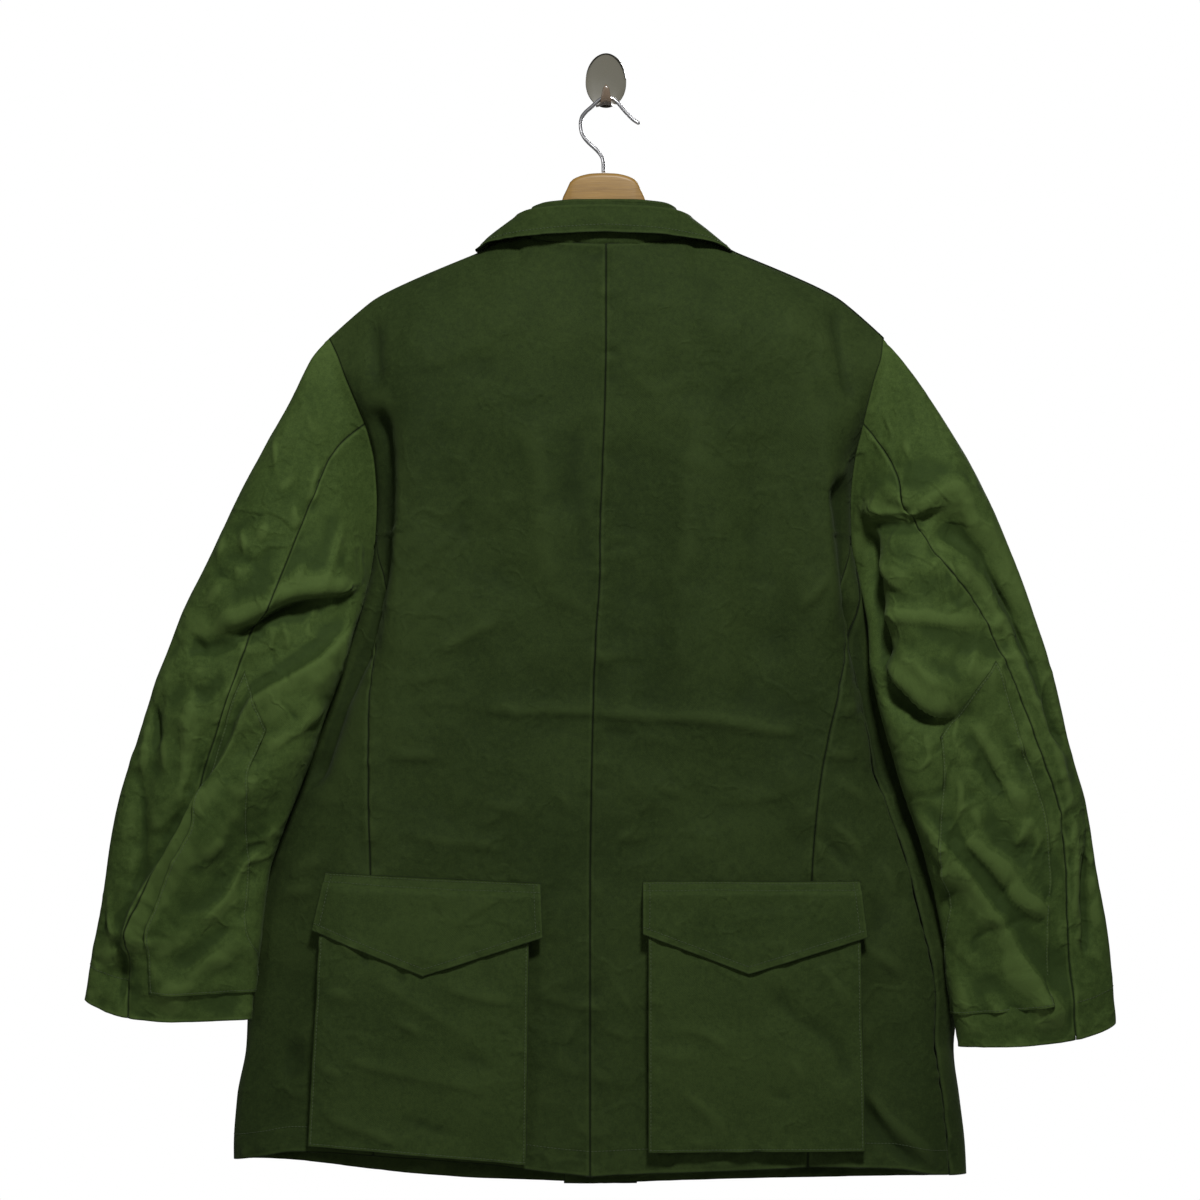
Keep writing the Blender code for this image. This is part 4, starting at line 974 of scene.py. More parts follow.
def spaced(length, cell):
    """Shares along a length, with narrow cells at both ends."""
    ends = [0.0, 0.9, 2.0, 3.4, 5.2, 7.4]
    count = max(2, round((length - 2 * ends[-1]) / cell))
    middle = np.linspace(ends[-1], length - ends[-1], count + 1)
    return np.concatenate((ends[:-1], middle, [length - e for e in ends[-2::-1]])) / length


def normals_of(points, hub):
    normal = unit(np.cross(np.gradient(points, axis=1), np.gradient(points, axis=0)))
    away = ((points - np.asarray(hub)) * normal).sum()
    return normal if away > 0 else -normal


def run_along(points, axis):
    """The distance of each point from the grid's first border, along its row or column."""
    steps = np.linalg.norm(np.diff(points, axis=axis), axis=-1)
    start = np.zeros_like(np.take(steps, [0], axis=axis))
    return np.concatenate((start, np.cumsum(steps, axis=axis)), axis=axis)


def from_borders(points):
    """How far each point is from each of the grid's four borders, in millimetres."""
    down, across = run_along(points, 0), run_along(points, 1)
    return {
        "first_row": down, "last_row": down[-1:] - down,
        "first_column": across, "last_column": across[:, -1:] - across,
    }


print("cells along 100 mm:", len(spaced(100.0, 3.0)) - 1)


# %% The grid's borders, and softening
def squarely(border, within):
    """The way into the grid from its border, square to the border's own line."""
    along = unit(np.gradient(border, axis=0))
    way = within - border
    return unit(way - along * (way * along).sum(axis=-1, keepdims=True))


def drawn_in(points, amount, edges):
    """The points with the named borders moved inwards."""
    moved = points.copy()
    for name, (border, within) in {"first_row": (0, 1), "last_row": (-1, -2)}.items():
        if name in edges:
            moved[border] += squarely(points[border], points[within]) * amount
    for name, (border, within) in {"first_column": (0, 1), "last_column": (-1, -2)}.items():
        if name in edges:
            moved[:, border] += squarely(points[:, border], points[:, within]) * amount
    return moved


def blurred(values, cells):
    """The values as running means over the cells on either side, taken twice along both ways of the grid."""
    for axis in (0, 1):
        for _ in range(2):
            wide = np.pad(values, [(cells, cells) if a == axis else (0, 0) for a in (0, 1)], mode="edge")
            sums = np.cumsum(wide, axis=axis)
            high = np.take(sums, range(2 * cells, sums.shape[axis]), axis=axis)
            low = np.take(sums, range(0, sums.shape[axis] - 2 * cells), axis=axis)
            values = (high - low) / (2 * cells)
    return values


# %% Sewn seams and puckers
SEAM_DIP, SEAM_DIP_WIDTH = 1.25, 1.3
SEAM_SWELL, SEAM_SWELL_INSET, SEAM_SWELL_WIDTH = 0.4, 4.2, 2.6
PUCKER_REACH = 11.0


def seam_relief(borders, seams):
    """A dip at each seam, with a low swell beside it."""
    relief = 0.0
    for name in seams:
        d = borders[name]
        relief = relief - SEAM_DIP * bump(d, SEAM_DIP_WIDTH)
        relief = relief + SEAM_SWELL * bump(d - SEAM_SWELL_INSET, SEAM_SWELL_WIDTH)
    return relief


def pucker(points, borders, sewn, seed):
    """Little waves across a line of stitching, where the thread has drawn the cloth up."""
    waves = bumps(points[..., 0] + points[..., 1], points[..., 2], 7.5, seed) * 0.55
    waves = waves + bumps(points[..., 0], points[..., 2] + points[..., 1], 14, seed + 1) * 0.5
    near = 0.0
    for name in sewn:
        near = np.maximum(near, bump(borders[name], PUCKER_REACH))
    return waves * near


print("cloth puckers within", PUCKER_REACH, "mm of a line of stitching")


# %% A mesh on a grid
def world_way(normal):
    return (normal[0], -normal[1], -normal[2])


def grid_mesh(name, points, borders, values_of):
    """A mesh on the grid's points, with the cloth laid flat as its UVs and a layer for each set of values."""
    rows, columns = points.shape[:2]
    mesh = bpy.data.meshes.new(name)
    bm = bmesh.new()
    bm.loops.layers.uv.new("flat")
    bmesh.ops.create_grid(bm, x_segments=columns - 1, y_segments=rows - 1, size=1.0, calc_uvs=True)
    for border in bm.edges:
        if border.is_boundary:
            border.smooth = False
    bm.to_mesh(mesh)
    bm.free()
    mesh.vertices.foreach_set("co", world(points).ravel())
    flat = np.stack((borders["first_column"], borders["last_row"]), axis=-1).reshape(-1, 2) * MM
    corner = np.empty(len(mesh.loops), np.int32)
    mesh.loops.foreach_get("vertex_index", corner)
    mesh.uv_layers["flat"].uv.foreach_set("vector", flat[corner].ravel())
    for label, values in values_of.items():
        layer = mesh.attributes.new(label, "FLOAT", "POINT")
        layer.data.foreach_set("value", values.astype(np.float32).ravel())
    mesh.shade_smooth()
    mesh.update()
    return mesh


def area_of(points):
    """The area of a grid, as the sum of its cells."""
    down, right = points[1:, :-1] - points[:-1, :-1], points[:-1, 1:] - points[:-1, :-1]
    return np.linalg.norm(np.cross(down, right), axis=-1).sum()


# %% Sheets
SOFTENED = 0.6
CREST_CELLS = 4
sheets = {}
CUTS = {}


def sheet(name, points, hub, detail, seams=(), sewn=(), thickness=CLOTH, lift=0.0, seed=1, gap=True,
          free=1.0):
    """A sheet of cloth from a grid of points on its form. detail is its crease height and lean at each
    point, seams are the borders where it joins another panel, and sewn those with a line of stitching
    inside them. free is 0 where another sheet meets it at an angle, so that the seam stays shut."""
    normals = normals_of(points, hub)
    borders = from_borders(points)
    height, leant = blend(detail[0], blurred(detail[0], 1), SOFTENED), detail[1]
    free = free + np.zeros(points.shape[:2])
    relief = (height + pucker(points, borders, tuple(seams) + tuple(sewn), seed)) * free
    shaped = relief + (seam_relief(borders, seams) if seams else 0.0) * free
    placed = points + normals * (shaped + lift)[..., None]
    placed[..., [0, 2]] += leant * free[..., None]
    if gap:
        placed = drawn_in(placed, SEAM_GAP / 2, seams)
    rim = np.minimum.reduce([borders[k] for k in borders])
    # crest is the cloth's height above the nearby cloth. The cotton shader uses it to paint crests paler and
    # hollows with painted shade.
    mesh = grid_mesh(name, placed, borders, {"rim": rim, "crest": relief - blurred(relief, CREST_CELLS)})
    rows, columns = points.shape[:2]
    outwards = Vector(world_way(normals[rows // 2, columns // 2]))
    if mesh.polygons[len(mesh.polygons) // 2].normal.dot(outwards) < 0:
        mesh.flip_normals()
    made = bpy.data.objects.new(name, mesh)
    bpy.context.scene.collection.objects.link(made)
    wall = made.modifiers.new("cloth", "SOLIDIFY")
    wall.thickness = thickness * MM
    wall.offset = -1.0
    sheets[name] = {"points": placed, "normals": normals, "borders": borders}
    width, length = borders["first_column"][:, -1].max(), borders["first_row"][-1].max()
    CUTS[name] = (width * MM, length * MM, min(area_of(points) * MM * MM, width * length * MM * MM))
    return made


def sew_in(made, finish, node):
    """The sheet gets its finish, stands for its CAD node, and the size of its cut is printed."""
    made.data.materials.append(finish)
    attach(made, "root")
    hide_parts(node)
    width, length, area = CUTS[made.name]
    faces = len(made.data.polygons)
    print(f"{made.name}: cut {width * 1000:.0f} x {length * 1000:.0f} mm, {faces} faces")


# %% [markdown]
# ## Cotton sateen
#
# The cloth is a dense, matt cotton sateen, dyed army green and a little faded. Its shader has five parts:
# a cloudy dye, paler crests that are partly rubbed wear and partly painted highlight with darker hollows of
# painted shade, a thin dark line with a paler edge along every seam, and two that only bend the light: a
# fine twill weave, and thin wandering crinkles. The sleeves are also made lighter than the body, partly
# for their stronger fading and partly as painted light.
# Shader sums are written as Python sums, through one small class that wraps a socket.

# %% Sums on sockets
class Wire:
    """A shader socket that can be reckoned with: each sum adds one Math node."""

    def __init__(self, tree, socket):
        self.tree = tree
        self.socket = socket

    def reckon(self, operation, first, second):
        node = self.tree.nodes.new("ShaderNodeMath")
        node.operation = operation
        for slot, value in zip(node.inputs, (first, second)):
            plug(self.tree, slot, value)
        return Wire(self.tree, node.outputs[0])

    def __add__(self, other):
        return self.reckon("ADD", self, other)

    __radd__ = __add__

    def __sub__(self, other):
        return self.reckon("SUBTRACT", self, other)

    def __rsub__(self, other):
        return self.reckon("SUBTRACT", other, self)

    def __mul__(self, other):
        return self.reckon("MULTIPLY", self, other)

    __rmul__ = __mul__

    def size(self):
        return self.reckon("ABSOLUTE", self, 0.0)


def plug(tree, slot, value):
    if isinstance(value, Wire):
        tree.links.new(value.socket, slot)
    else:
        slot.default_value = value


# %% A material under construction
class Finish:
    """A material, with one method for every kind of node."""

    def __init__(self, name):
        self.material = bpy.data.materials.new(name)
        self.material.use_nodes = True
        self.tree = self.material.node_tree
        self.shader = self.tree.nodes["Principled BSDF"]

    def node(self, kind, settings=None, inputs=None, output=0):
        node = self.tree.nodes.new(kind)
        for key, value in (settings or {}).items():
            setattr(node, key, value)
        for key, value in (inputs or {}).items():
            plug(self.tree, node.inputs[key], value)
        return Wire(self.tree, node.outputs[output])

    def mix(self, share, first, second, way="MIX"):
        settings = {"data_type": "RGBA", "blend_type": way, "clamp_factor": True}
        return self.node("ShaderNodeMix", settings, {0: share, 6: first, 7: second}, 2)

    def noise(self, place, scale, detail=3.0, rough=0.55):
        inputs = {"Vector": place, "Scale": scale, "Detail": detail, "Roughness": rough}
        return self.node("ShaderNodeTexNoise", {}, inputs, "Fac")

    def step(self, value, low, high):
        settings = {"interpolation_type": "SMOOTHSTEP", "clamp": True}
        return self.node("ShaderNodeMapRange", settings, {"Value": value, "From Min": low, "From Max": high})

    def set(self, **values):
        for key, value in values.items():
            plug(self.tree, self.shader.inputs[key.replace("_", " ")], value)


# %% Dyes, which also serve as painted shade and highlight, and crinkles
# The dark dye also serves as painted shade in the creases' hollows. The faded dye also serves as painted
# highlight on their crests, as well as for faded and worn cloth.
DARK_DYE_AND_PAINTED_SHADE = (0.0096, 0.0188, 0.0034, 1.0)
DYE = (0.0218, 0.0385, 0.0070, 1.0)
FADED_DYE_AND_PAINTED_HIGHLIGHT = (0.0430, 0.0680, 0.0165, 1.0)
SEAM_SHADE = (0.0050, 0.0085, 0.0028, 1.0)


def crinkles(f, place, scale, fine):
    """Thin wandering lines, where a cloudy value passes through its middle."""
    wander = f.noise(place, scale, 2.5, 0.5) - 0.5
    return (1 - f.step(wander.size(), 0.0, fine)) * f.step(f.noise(place, scale * 0.7, 1.0), 0.42, 0.62)


print("the faded dye gives back", round(FADED_DYE_AND_PAINTED_HIGHLIGHT[1] / DARK_DYE_AND_PAINTED_SHADE[1], 1), "times the green of the dark one")


# %% The cloth's finish
def cotton(name, brightness_and_painted_light, crush_and_painted_crease_light, joined=True):
    """The sateen, by a brightness factor and by how crushed it is. The brightness factor sets how light the
    cloth is, and its higher value on the sleeves is partly their stronger fading and partly painted light.
    How crushed it is sets the crinkles' bumps and how strongly crests are painted paler, partly as rubbed
    wear and partly as painted highlight, and hollows darker as painted shade. joined is for a piece that
    others are sewn to, which has darker seams than a loose one has edges."""
    f = Finish(name)
    place = f.node("ShaderNodeTexCoord", output="Object")
    flat = f.node("ShaderNodeUVMap", {"uv_map": "flat"})
    rim = f.node("ShaderNodeAttribute", {"attribute_name": "rim"}, output="Fac")
    crest = f.node("ShaderNodeAttribute", {"attribute_name": "crest"}, output="Fac")
    cloudy = f.noise(place, 7.0, 3.0)
    mottled = f.noise(place, 210.0, 4.0, 0.7)
    flecks = f.noise(place, 900.0, 2.0, 0.6)
    tone = cloudy * 0.5 + mottled * 0.5 + flecks * 0.42 - 0.21
    base = f.mix(f.step(tone, 0.25, 0.75), DARK_DYE_AND_PAINTED_SHADE, FADED_DYE_AND_PAINTED_HIGHLIGHT)
    base = f.mix(0.45, base, DYE)
    # Crests are painted paler, partly as rubbed wear and partly as painted highlight. Hollows are darkened as
    # painted shade.
    base = f.mix(f.step(crest, 0.15, 1.6) * crush_and_painted_crease_light * 0.85, base, FADED_DYE_AND_PAINTED_HIGHLIGHT)
    base = f.mix(f.step(crest * -1.0, 0.2, 1.8) * crush_and_painted_crease_light, base, DARK_DYE_AND_PAINTED_SHADE)
    if joined:
        pale_edge = f.step(rim, 0.9, 1.8) * (1 - f.step(rim, 2.2, 4.0))
        base = f.mix(pale_edge * 0.3, base, FADED_DYE_AND_PAINTED_HIGHLIGHT)
        base = f.mix((1 - f.step(rim, 0.25, 1.1)) * 0.85, base, SEAM_SHADE)
    else:
        pale_edge = f.step(rim, 0.5, 1.2) * (1 - f.step(rim, 1.6, 3.2))
        base = f.mix(pale_edge * 0.35, base, FADED_DYE_AND_PAINTED_HIGHLIGHT)
        base = f.mix((1 - f.step(rim, 0.1, 0.8)) * 0.7, base, SEAM_SHADE)
    # The brightness factor: its higher value on the sleeves is partly stronger fading and partly painted
    # light.
    base = f.mix(1.0, base, (brightness_and_painted_light, brightness_and_painted_light, brightness_and_painted_light, 1.0), "MULTIPLY")
    twill = f.node("ShaderNodeTexWave", {"wave_type": "BANDS", "bands_direction": "DIAGONAL"},
                   {"Vector": flat, "Scale": 420.0, "Distortion": 1.2, "Detail": 1.0}, "Fac")
    height = twill * 0.35 + mottled * 0.9 + flecks * 0.5
    crush = crinkles(f, place, 13.0, 0.045) + crinkles(f, place, 31.0, 0.06) * 0.6 + cloudy * 1.5
    inputs = {"Strength": crush_and_painted_crease_light, "Distance": 0.0016, "Height": crush}
    creased = f.node("ShaderNodeBump", {}, inputs, "Normal")
    inputs = {"Strength": 0.4, "Distance": 0.0006, "Height": height, "Normal": creased}
    normal = f.node("ShaderNodeBump", {}, inputs, "Normal")
    f.set(Base_Color=base, Roughness=0.72 + mottled * 0.16, Normal=normal)
    f.set(Specular_IOR_Level=0.09, Sheen_Weight=0.03, Sheen_Roughness=0.5)
    f.set(Sheen_Tint=(0.55, 0.70, 0.42, 1.0))
    return f.material


# The sleeves and patches are made lighter than the body and the trims, partly for their stronger fading and
# partly as painted light.
cloth_finish = cotton("cotton_sateen_body", 0.69, 0.4)
sleeve_finishes = {"left": cotton("cotton_sateen_left_sleeve", 1.3, 0.65),
                   "right": cotton("cotton_sateen_right_sleeve", 1.3, 0.65)}
patch_finishes = {"left": cotton("cotton_sateen_left_patch", 1.3, 0.65, False),
                  "right": cotton("cotton_sateen_right_patch", 1.3, 0.65, False)}
trim_finish = cotton("cotton_sateen_trim", 0.80, 0.4, False)
print("cloth finishes made")

# %% [markdown]
# ## The body's panels
#
# The back is cut in four: two wide panels that meet in the middle, and a narrow side panel under each arm.
# Each front is one panel. They meet the backs along the shoulder, and lap in the middle behind, where the
# buttons are.

# %% How a panel of the body is laid out
BODY_HUBS = {"left": (-60.0, 38.0, 550.0), "right": (60.0, 38.0, 550.0)}
ARM_LENGTH, TAIL_LENGTH = 250.0, 522.0
BACK_WIDTH, SIDE_BACK_WIDTH, FRONT_WIDTH = 215.0, 112.0, 340.0
FINEST, FINE, COARSE = 2.15, 3.0, 6.5
ALL_BUT_HEM = ("first_row", "first_column", "last_column")
ALL_ROUND = ("first_row", "last_row", "first_column", "last_column")


def body_levels(cell, start=1.0):
    """Levels from a start down to the hem, with narrow rows at the shoulder, at the start and at the hem."""
    length = start * ARM_LENGTH + TAIL_LENGTH
    run = spaced(length, cell) * length
    above = run < start * ARM_LENGTH
    return np.where(above, start - run / ARM_LENGTH, -(run - start * ARM_LENGTH) / TAIL_LENGTH)


def body_panel(side, levels, start, end, width, cell):
    """A panel's points, and which of them lie on the back."""
    shares = spaced(width, cell)
    v = np.repeat(levels[:, None], len(shares), axis=1)
    s = blend(start(side, levels)[:, None], end(side, levels)[:, None], shares[None, :])
    return body_at(side, s, v), s <= 1


print("rows of a back panel:", len(body_levels(FINE)), "and of a front:", len(body_levels(COARSE)))


# %% The body's middle lines, and the creases of its cloth
def middle_line(side, level):
    return np.zeros_like(level)


def lap_line(side, level):
    return np.full_like(level, 1.0 + 1.1 ** (1 / CROWDING))


def front_start(side, level):
    return np.where(level > 0, 1.0 + 1e-6, side_seam(side, level))


def back_detail(across, down):
    """Heights and lean of the back's cloth."""
    height, leant = creases_at(BACK_CREASES, across, down)
    return height * BACK_DEPTH + slack(across, down, 21), leant


def body_free(side, points, face):
    """Nothing moves at the armholes, the shoulders and the body's edge, where other panels meet these."""
    across, down = points[..., 0], points[..., 2]
    inside = np.abs(edge_across(side, down) - across)
    return smooth(inside / 11) * smooth((down - top_down(across, face)) / 12)


def front_detail(across, down, back):
    """The front's own creases, and those of the back where the front is wrapped round to it."""
    own, own_lean = creases_at(FRONT_CREASES, across, down)
    seen, seen_lean = back_detail(across, down)
    own = 0.8 * own + 0.6 * slack(across, down, 61)
    return np.where(back, seen, own), np.where(back[..., None], seen_lean, own_lean)


print("the back's creases are raised", BACK_DEPTH, "times")

# %% The backs, side backs and fronts
for side in ("left", "right"):
    for name, start, left, right, width, rests_on in (
        ("back", 1.0, middle_line, back_panel_edge, BACK_WIDTH, ["hanger_body"]),
        ("side_back", SIDE_BACK_TOP, back_panel_edge, side_seam, SIDE_BACK_WIDTH,
         [f"back_{side}", f"sleeve_{side}_under"]),
    ):
        points, on_back = body_panel(side, body_levels(FINE, start), left, right, width, FINE)
        made = sheet(f"cloth_{name}_{side}", points, BODY_HUBS[side],
                     back_detail(points[..., 0], points[..., 2]), ALL_BUT_HEM, ("last_row",), seed=31,
                     free=body_free(side, points, "back"))
        sew_in(made, cloth_finish, f"{name}_{side}")
    points, on_back = body_panel(side, body_levels(COARSE), front_start, lap_line, FRONT_WIDTH, COARSE)
    made = sheet(f"cloth_front_{side}", points, BODY_HUBS[side],
                 front_detail(points[..., 0], points[..., 2], on_back), ("first_row", "first_column"),
                 ("last_row", "last_column"), seed=71, free=body_free(side, points, "front"))
    sew_in(made, cloth_finish, f"front_{side}")

# %% [markdown]
# ## The sleeves
#
# Each sleeve is cut in two, an upper and an under sleeve, and a reinforcing patch lies over the elbow on the
# under sleeve's own cloth. The patch is laid out on the same grid as the sleeve below it and moved out by a
# cloth's thickness, so every crease runs on through both.

# %% How a sleeve is laid out
SLEEVE_HUBS = {"left": (-330.0, 46.0, 560.0), "right": (330.0, 46.0, 560.0)}
SLEEVE_LENGTH, UPPER_WIDTH, UNDER_WIDTH, PATCH_WIDTH = 640.0, 215.0, 150.0, 70.0
PATCH_START_SHARE = 0.05
CREASE_TURN = {"left": -42.0, "right": 38.0}
CRUMPLE_SEED = {"left": 101, "right": 151}
SEEN_CREASES = {"left": LEFT_SLEEVE_CREASES, "right": RIGHT_SLEEVE_CREASES}


def sleeve_detail(side, section, angle, points):
    """The creases and crumples of a sleeve, which fade towards its edges and its armhole."""
    across, down = points[..., 0], points[..., 2]
    back = (angle >= 0) & (angle <= 180)
    seen, seen_lean = creases_at(SEEN_CREASES[side], across, down)
    hidden, hidden_lean = creases_at(HIDDEN_SLEEVE_CREASES, across, down)
    turned = np.abs(np.sin(np.radians(angle)))
    strength = smooth(section / 2.0) * (0.12 + 0.88 * smooth(turned / 0.6)) * SLEEVE_CRUMPLE
    facing = smooth(turned / 0.7) * smooth(section / 1.2) * SLEEVE_DEPTH
    random = crumple(across, down, CRUMPLE_SEED[side], CREASE_TURN[side])
    quiet = 0.45 + 0.55 * smooth((section - 2.5) / 3)
    height = np.where(back, seen, hidden) * facing + random * quiet * strength
    leant = np.where(back[..., None], seen_lean, hidden_lean) * (facing * smooth(turned / 0.5))[..., None]
    return height, leant


def sleeve_sheet(side, name, section, angle):
    """One of a sleeve's two pieces. It keeps still at the armhole, where the body meets it."""
    points = sleeve_at(side, section, angle)
    detail = sleeve_detail(side, section, angle, points)
    return sheet(name, points, SLEEVE_HUBS[side], detail, ALL_BUT_HEM, ("last_row",), seed=81,
                 free=smooth(section / 0.4))


def under_sleeve(side, sections, shares):
    """Angle and section over the under sleeve, whose rows slant along the top of the elbow patch."""
    seam, free = back_seam[side](sections)[:, None], patch_edge[side](sections)[:, None]
    slant = (PATCH_SLANT[side] * smooth(sections / 5) * smooth((LAST_SECTION - sections) / 3))[:, None]
    shares = shares[None, :]
    on = np.clip(shares / PATCH_SHARE, 0, 1)
    beyond = np.clip((shares - PATCH_SHARE) / (1 - PATCH_SHARE), 0, 1)
    angle = np.where(shares <= PATCH_SHARE, blend(seam, free, on), blend(free, UNDERARM_SEAM_ANGLE, beyond))
    section = sections[:, None] + slant * np.where(shares <= PATCH_SHARE, on, 1 - beyond)
    return angle, section


print("rows of a sleeve:", len(spaced(SLEEVE_LENGTH, FINEST)))

# %% Upper sleeves, under sleeves and elbow patches
for side in ("left", "right"):
    sections = spaced(SLEEVE_LENGTH, FINEST) * LAST_SECTION
    shares = spaced(UPPER_WIDTH, FINEST)
    angle = blend(UNDERARM_SEAM_ANGLE - 360.0, back_seam[side](sections)[:, None], shares[None, :])
    section = np.repeat(sections[:, None], len(shares), axis=1)
    made = sleeve_sheet(side, f"cloth_sleeve_{side}_top", section, angle)
    sew_in(made, sleeve_finishes[side], f"sleeve_{side}_top")
for side in ("left", "right"):
    sections = spaced(SLEEVE_LENGTH, FINEST) * LAST_SECTION
    angle, section = under_sleeve(side, sections, spaced(UNDER_WIDTH, FINEST))
    made = sleeve_sheet(side, f"cloth_sleeve_{side}_under", section, angle)
    sew_in(made, sleeve_finishes[side], f"sleeve_{side}_under")
    first, last = PATCH_SECTIONS[side]
    length = (last - first) / LAST_SECTION * SLEEVE_LENGTH
    sections = blend(first, last, spaced(length, FINEST))
    shares = blend(PATCH_START_SHARE, PATCH_SHARE, spaced(PATCH_WIDTH, FINEST))
    angle, section = under_sleeve(side, sections, shares)
    points = sleeve_at(side, section, angle)
    made = sheet(f"cloth_elbow_patch_{side}", points, SLEEVE_HUBS[side],
                 sleeve_detail(side, section, angle, points), (), ALL_ROUND, thickness=PATCH_CLOTH,
                 lift=PATCH_CLOTH + LYING_GAP, seed=81, gap=False)
    sew_in(made, patch_finishes[side], f"elbow_patch_{side}")

# %% [markdown]
# ## The collar
#
# The collar has a stand, which rises from the neck seam, and a fall, which rolls over the stand and comes
# down outside it. The roll is soft, so the fall starts with a tight round turn before it runs flat. Its
# lower edge hangs a few millimetres lower and closer to the back than the solid's does.

# %% The form of the stand and the fall
STAND_TURNED_DOWN, STAND_TURN_OUT, STAND_TURN_DEPTH = 0.14, 2.3, 5.5
ROLL_SHARE, ROLL_OUT = 0.2, 4.6


def collar_place(name, c):
    """Places along one line of the collar, from -1 at its left end to 1 at its right."""
    side = np.where(c < 0, -1.0, 1.0)
    across = side * collar[name + "_across"](np.abs(c)) + COLLAR_SHIFT
    return np.stack((across, collar[name + "_out"](np.abs(c)), collar[name + "_down"](np.abs(c))), axis=-1)


def stand_at(c, v):
    """The stand, whose lowest few millimetres are turned down behind the neck seam."""
    neck, fold = collar_place("neck", c), collar_place("fold", c)
    neck[..., 2] -= STAND_DROP
    t = np.clip((v - STAND_TURNED_DOWN) / (1 - STAND_TURNED_DOWN), 0, 1)[..., None]
    tucked = np.clip(1 - v / STAND_TURNED_DOWN, 0, 1)
    inward = np.stack((neck[..., 0] - COLLAR_SHIFT, neck[..., 1] - RIDGE_OUT, np.zeros_like(v)), axis=-1)
    placed = blend(neck, fold, t) - unit(inward) * (STAND_TURN_OUT * tucked)[..., None]
    placed[..., 2] += STAND_TURN_DEPTH * tucked
    return placed


def fall_at(c, v):
    """The fall: over the stand's top, round the roll, and down to the rim with a slight belly."""
    fold, rim = collar_place("fold", c), collar_place("edge", c)
    along = collar_place("fold", np.minimum(c + 0.01, 1.0)) - collar_place("fold", np.maximum(c - 0.01, -1.0))
    length = np.hypot(along[..., 0], along[..., 1])
    away = np.stack((-along[..., 1] / length, along[..., 0] / length, np.zeros_like(length)), axis=-1)
    over = fold - away * 0.7 - np.array((0.0, 0.0, FALL_RISE))
    roll = fold + away * ROLL_OUT - np.array((0.0, 0.0, 0.2))
    turned = blend(over, roll, np.sin(np.clip(v / ROLL_SHARE, 0, 1) * np.pi / 2)[..., None])
    t = np.clip((v - ROLL_SHARE) / (1 - ROLL_SHARE), 0, 1)[..., None]
    belly = FALL_BELLY * np.sin(np.pi * t)
    hanging = blend(roll, rim, t) + away * belly - np.array((0.0, 0.0, 1.0)) * belly
    return np.where((v < ROLL_SHARE)[..., None], turned, hanging)


nape = fall_at(np.array([0.0]), np.array([1.0]))[0]
print("the fall's rim at the nape lies at", [round(float(x), 1) for x in nape])

# %% Stand and fall
COLLAR_CREASES = (
    (1.0, 3, 2, -63, 118, -56, 131),
    (0.9, 3, 2, -54, 116, -48, 128),
    (0.9, 3, 2, -4, 118, 0, 134),
    (0.8, 5, 3, 40, 120, 62, 134),
    (0.8, 5, 3, -92, 130, -76, 142),
)
PRESSED_RIDGE, RIDGE_SHARE, RIDGE_WIDTH = 2.4, 0.38, 0.05
PRESSED_HOLLOW, HOLLOW_SHARE, HOLLOW_WIDTH = 2.0, 0.27, 0.08
PRESSED_REACH = 0.62


def still(height):
    """Heights with no lean."""
    return height, np.zeros(height.shape + (2,))


COLLAR_HUB = (0.0, 30.0, 190.0)
c, v = np.meshgrid(blend(-1, 1, spaced(430.0, FINE)), spaced(38.0, FINE))
points = stand_at(c, v)
made = sheet("cloth_collar_stand", points, COLLAR_HUB, still(0.2 * slack(points[..., 0], points[..., 2], 41)),
             (), ("first_row",), seed=43, gap=False)
sew_in(made, trim_finish, "collar_stand")
c, v = np.meshgrid(blend(-1, 1, spaced(480.0, 2.5)), spaced(60.0, 2.0))
points = fall_at(c, v)
pressed = PRESSED_RIDGE * pinch(v - RIDGE_SHARE, RIDGE_WIDTH)
pressed = pressed - PRESSED_HOLLOW * bump(v - HOLLOW_SHARE, HOLLOW_WIDTH)
height, leant = creases_at(COLLAR_CREASES, points[..., 0], points[..., 2])
uneven = 0.5 * slack(points[..., 0], points[..., 2], 47) * smooth(v / ROLL_SHARE)
height += uneven + pressed * smooth((PRESSED_REACH - np.abs(c)) / 0.2)
made = sheet("cloth_collar_fall", points, COLLAR_HUB, (height, leant * 0.5),
             (), ("last_row",), seed=49, gap=False)
sew_in(made, trim_finish, "collar_fall")

# %% [markdown]
# ## Bellows pockets and their flaps
#
# Each pocket is a flat front held off the back by a folded strip round three sides, the bellows. Its mouth
# is covered by a pointed flap, which lies on the back along its sewn top edge and climbs over the mouth.

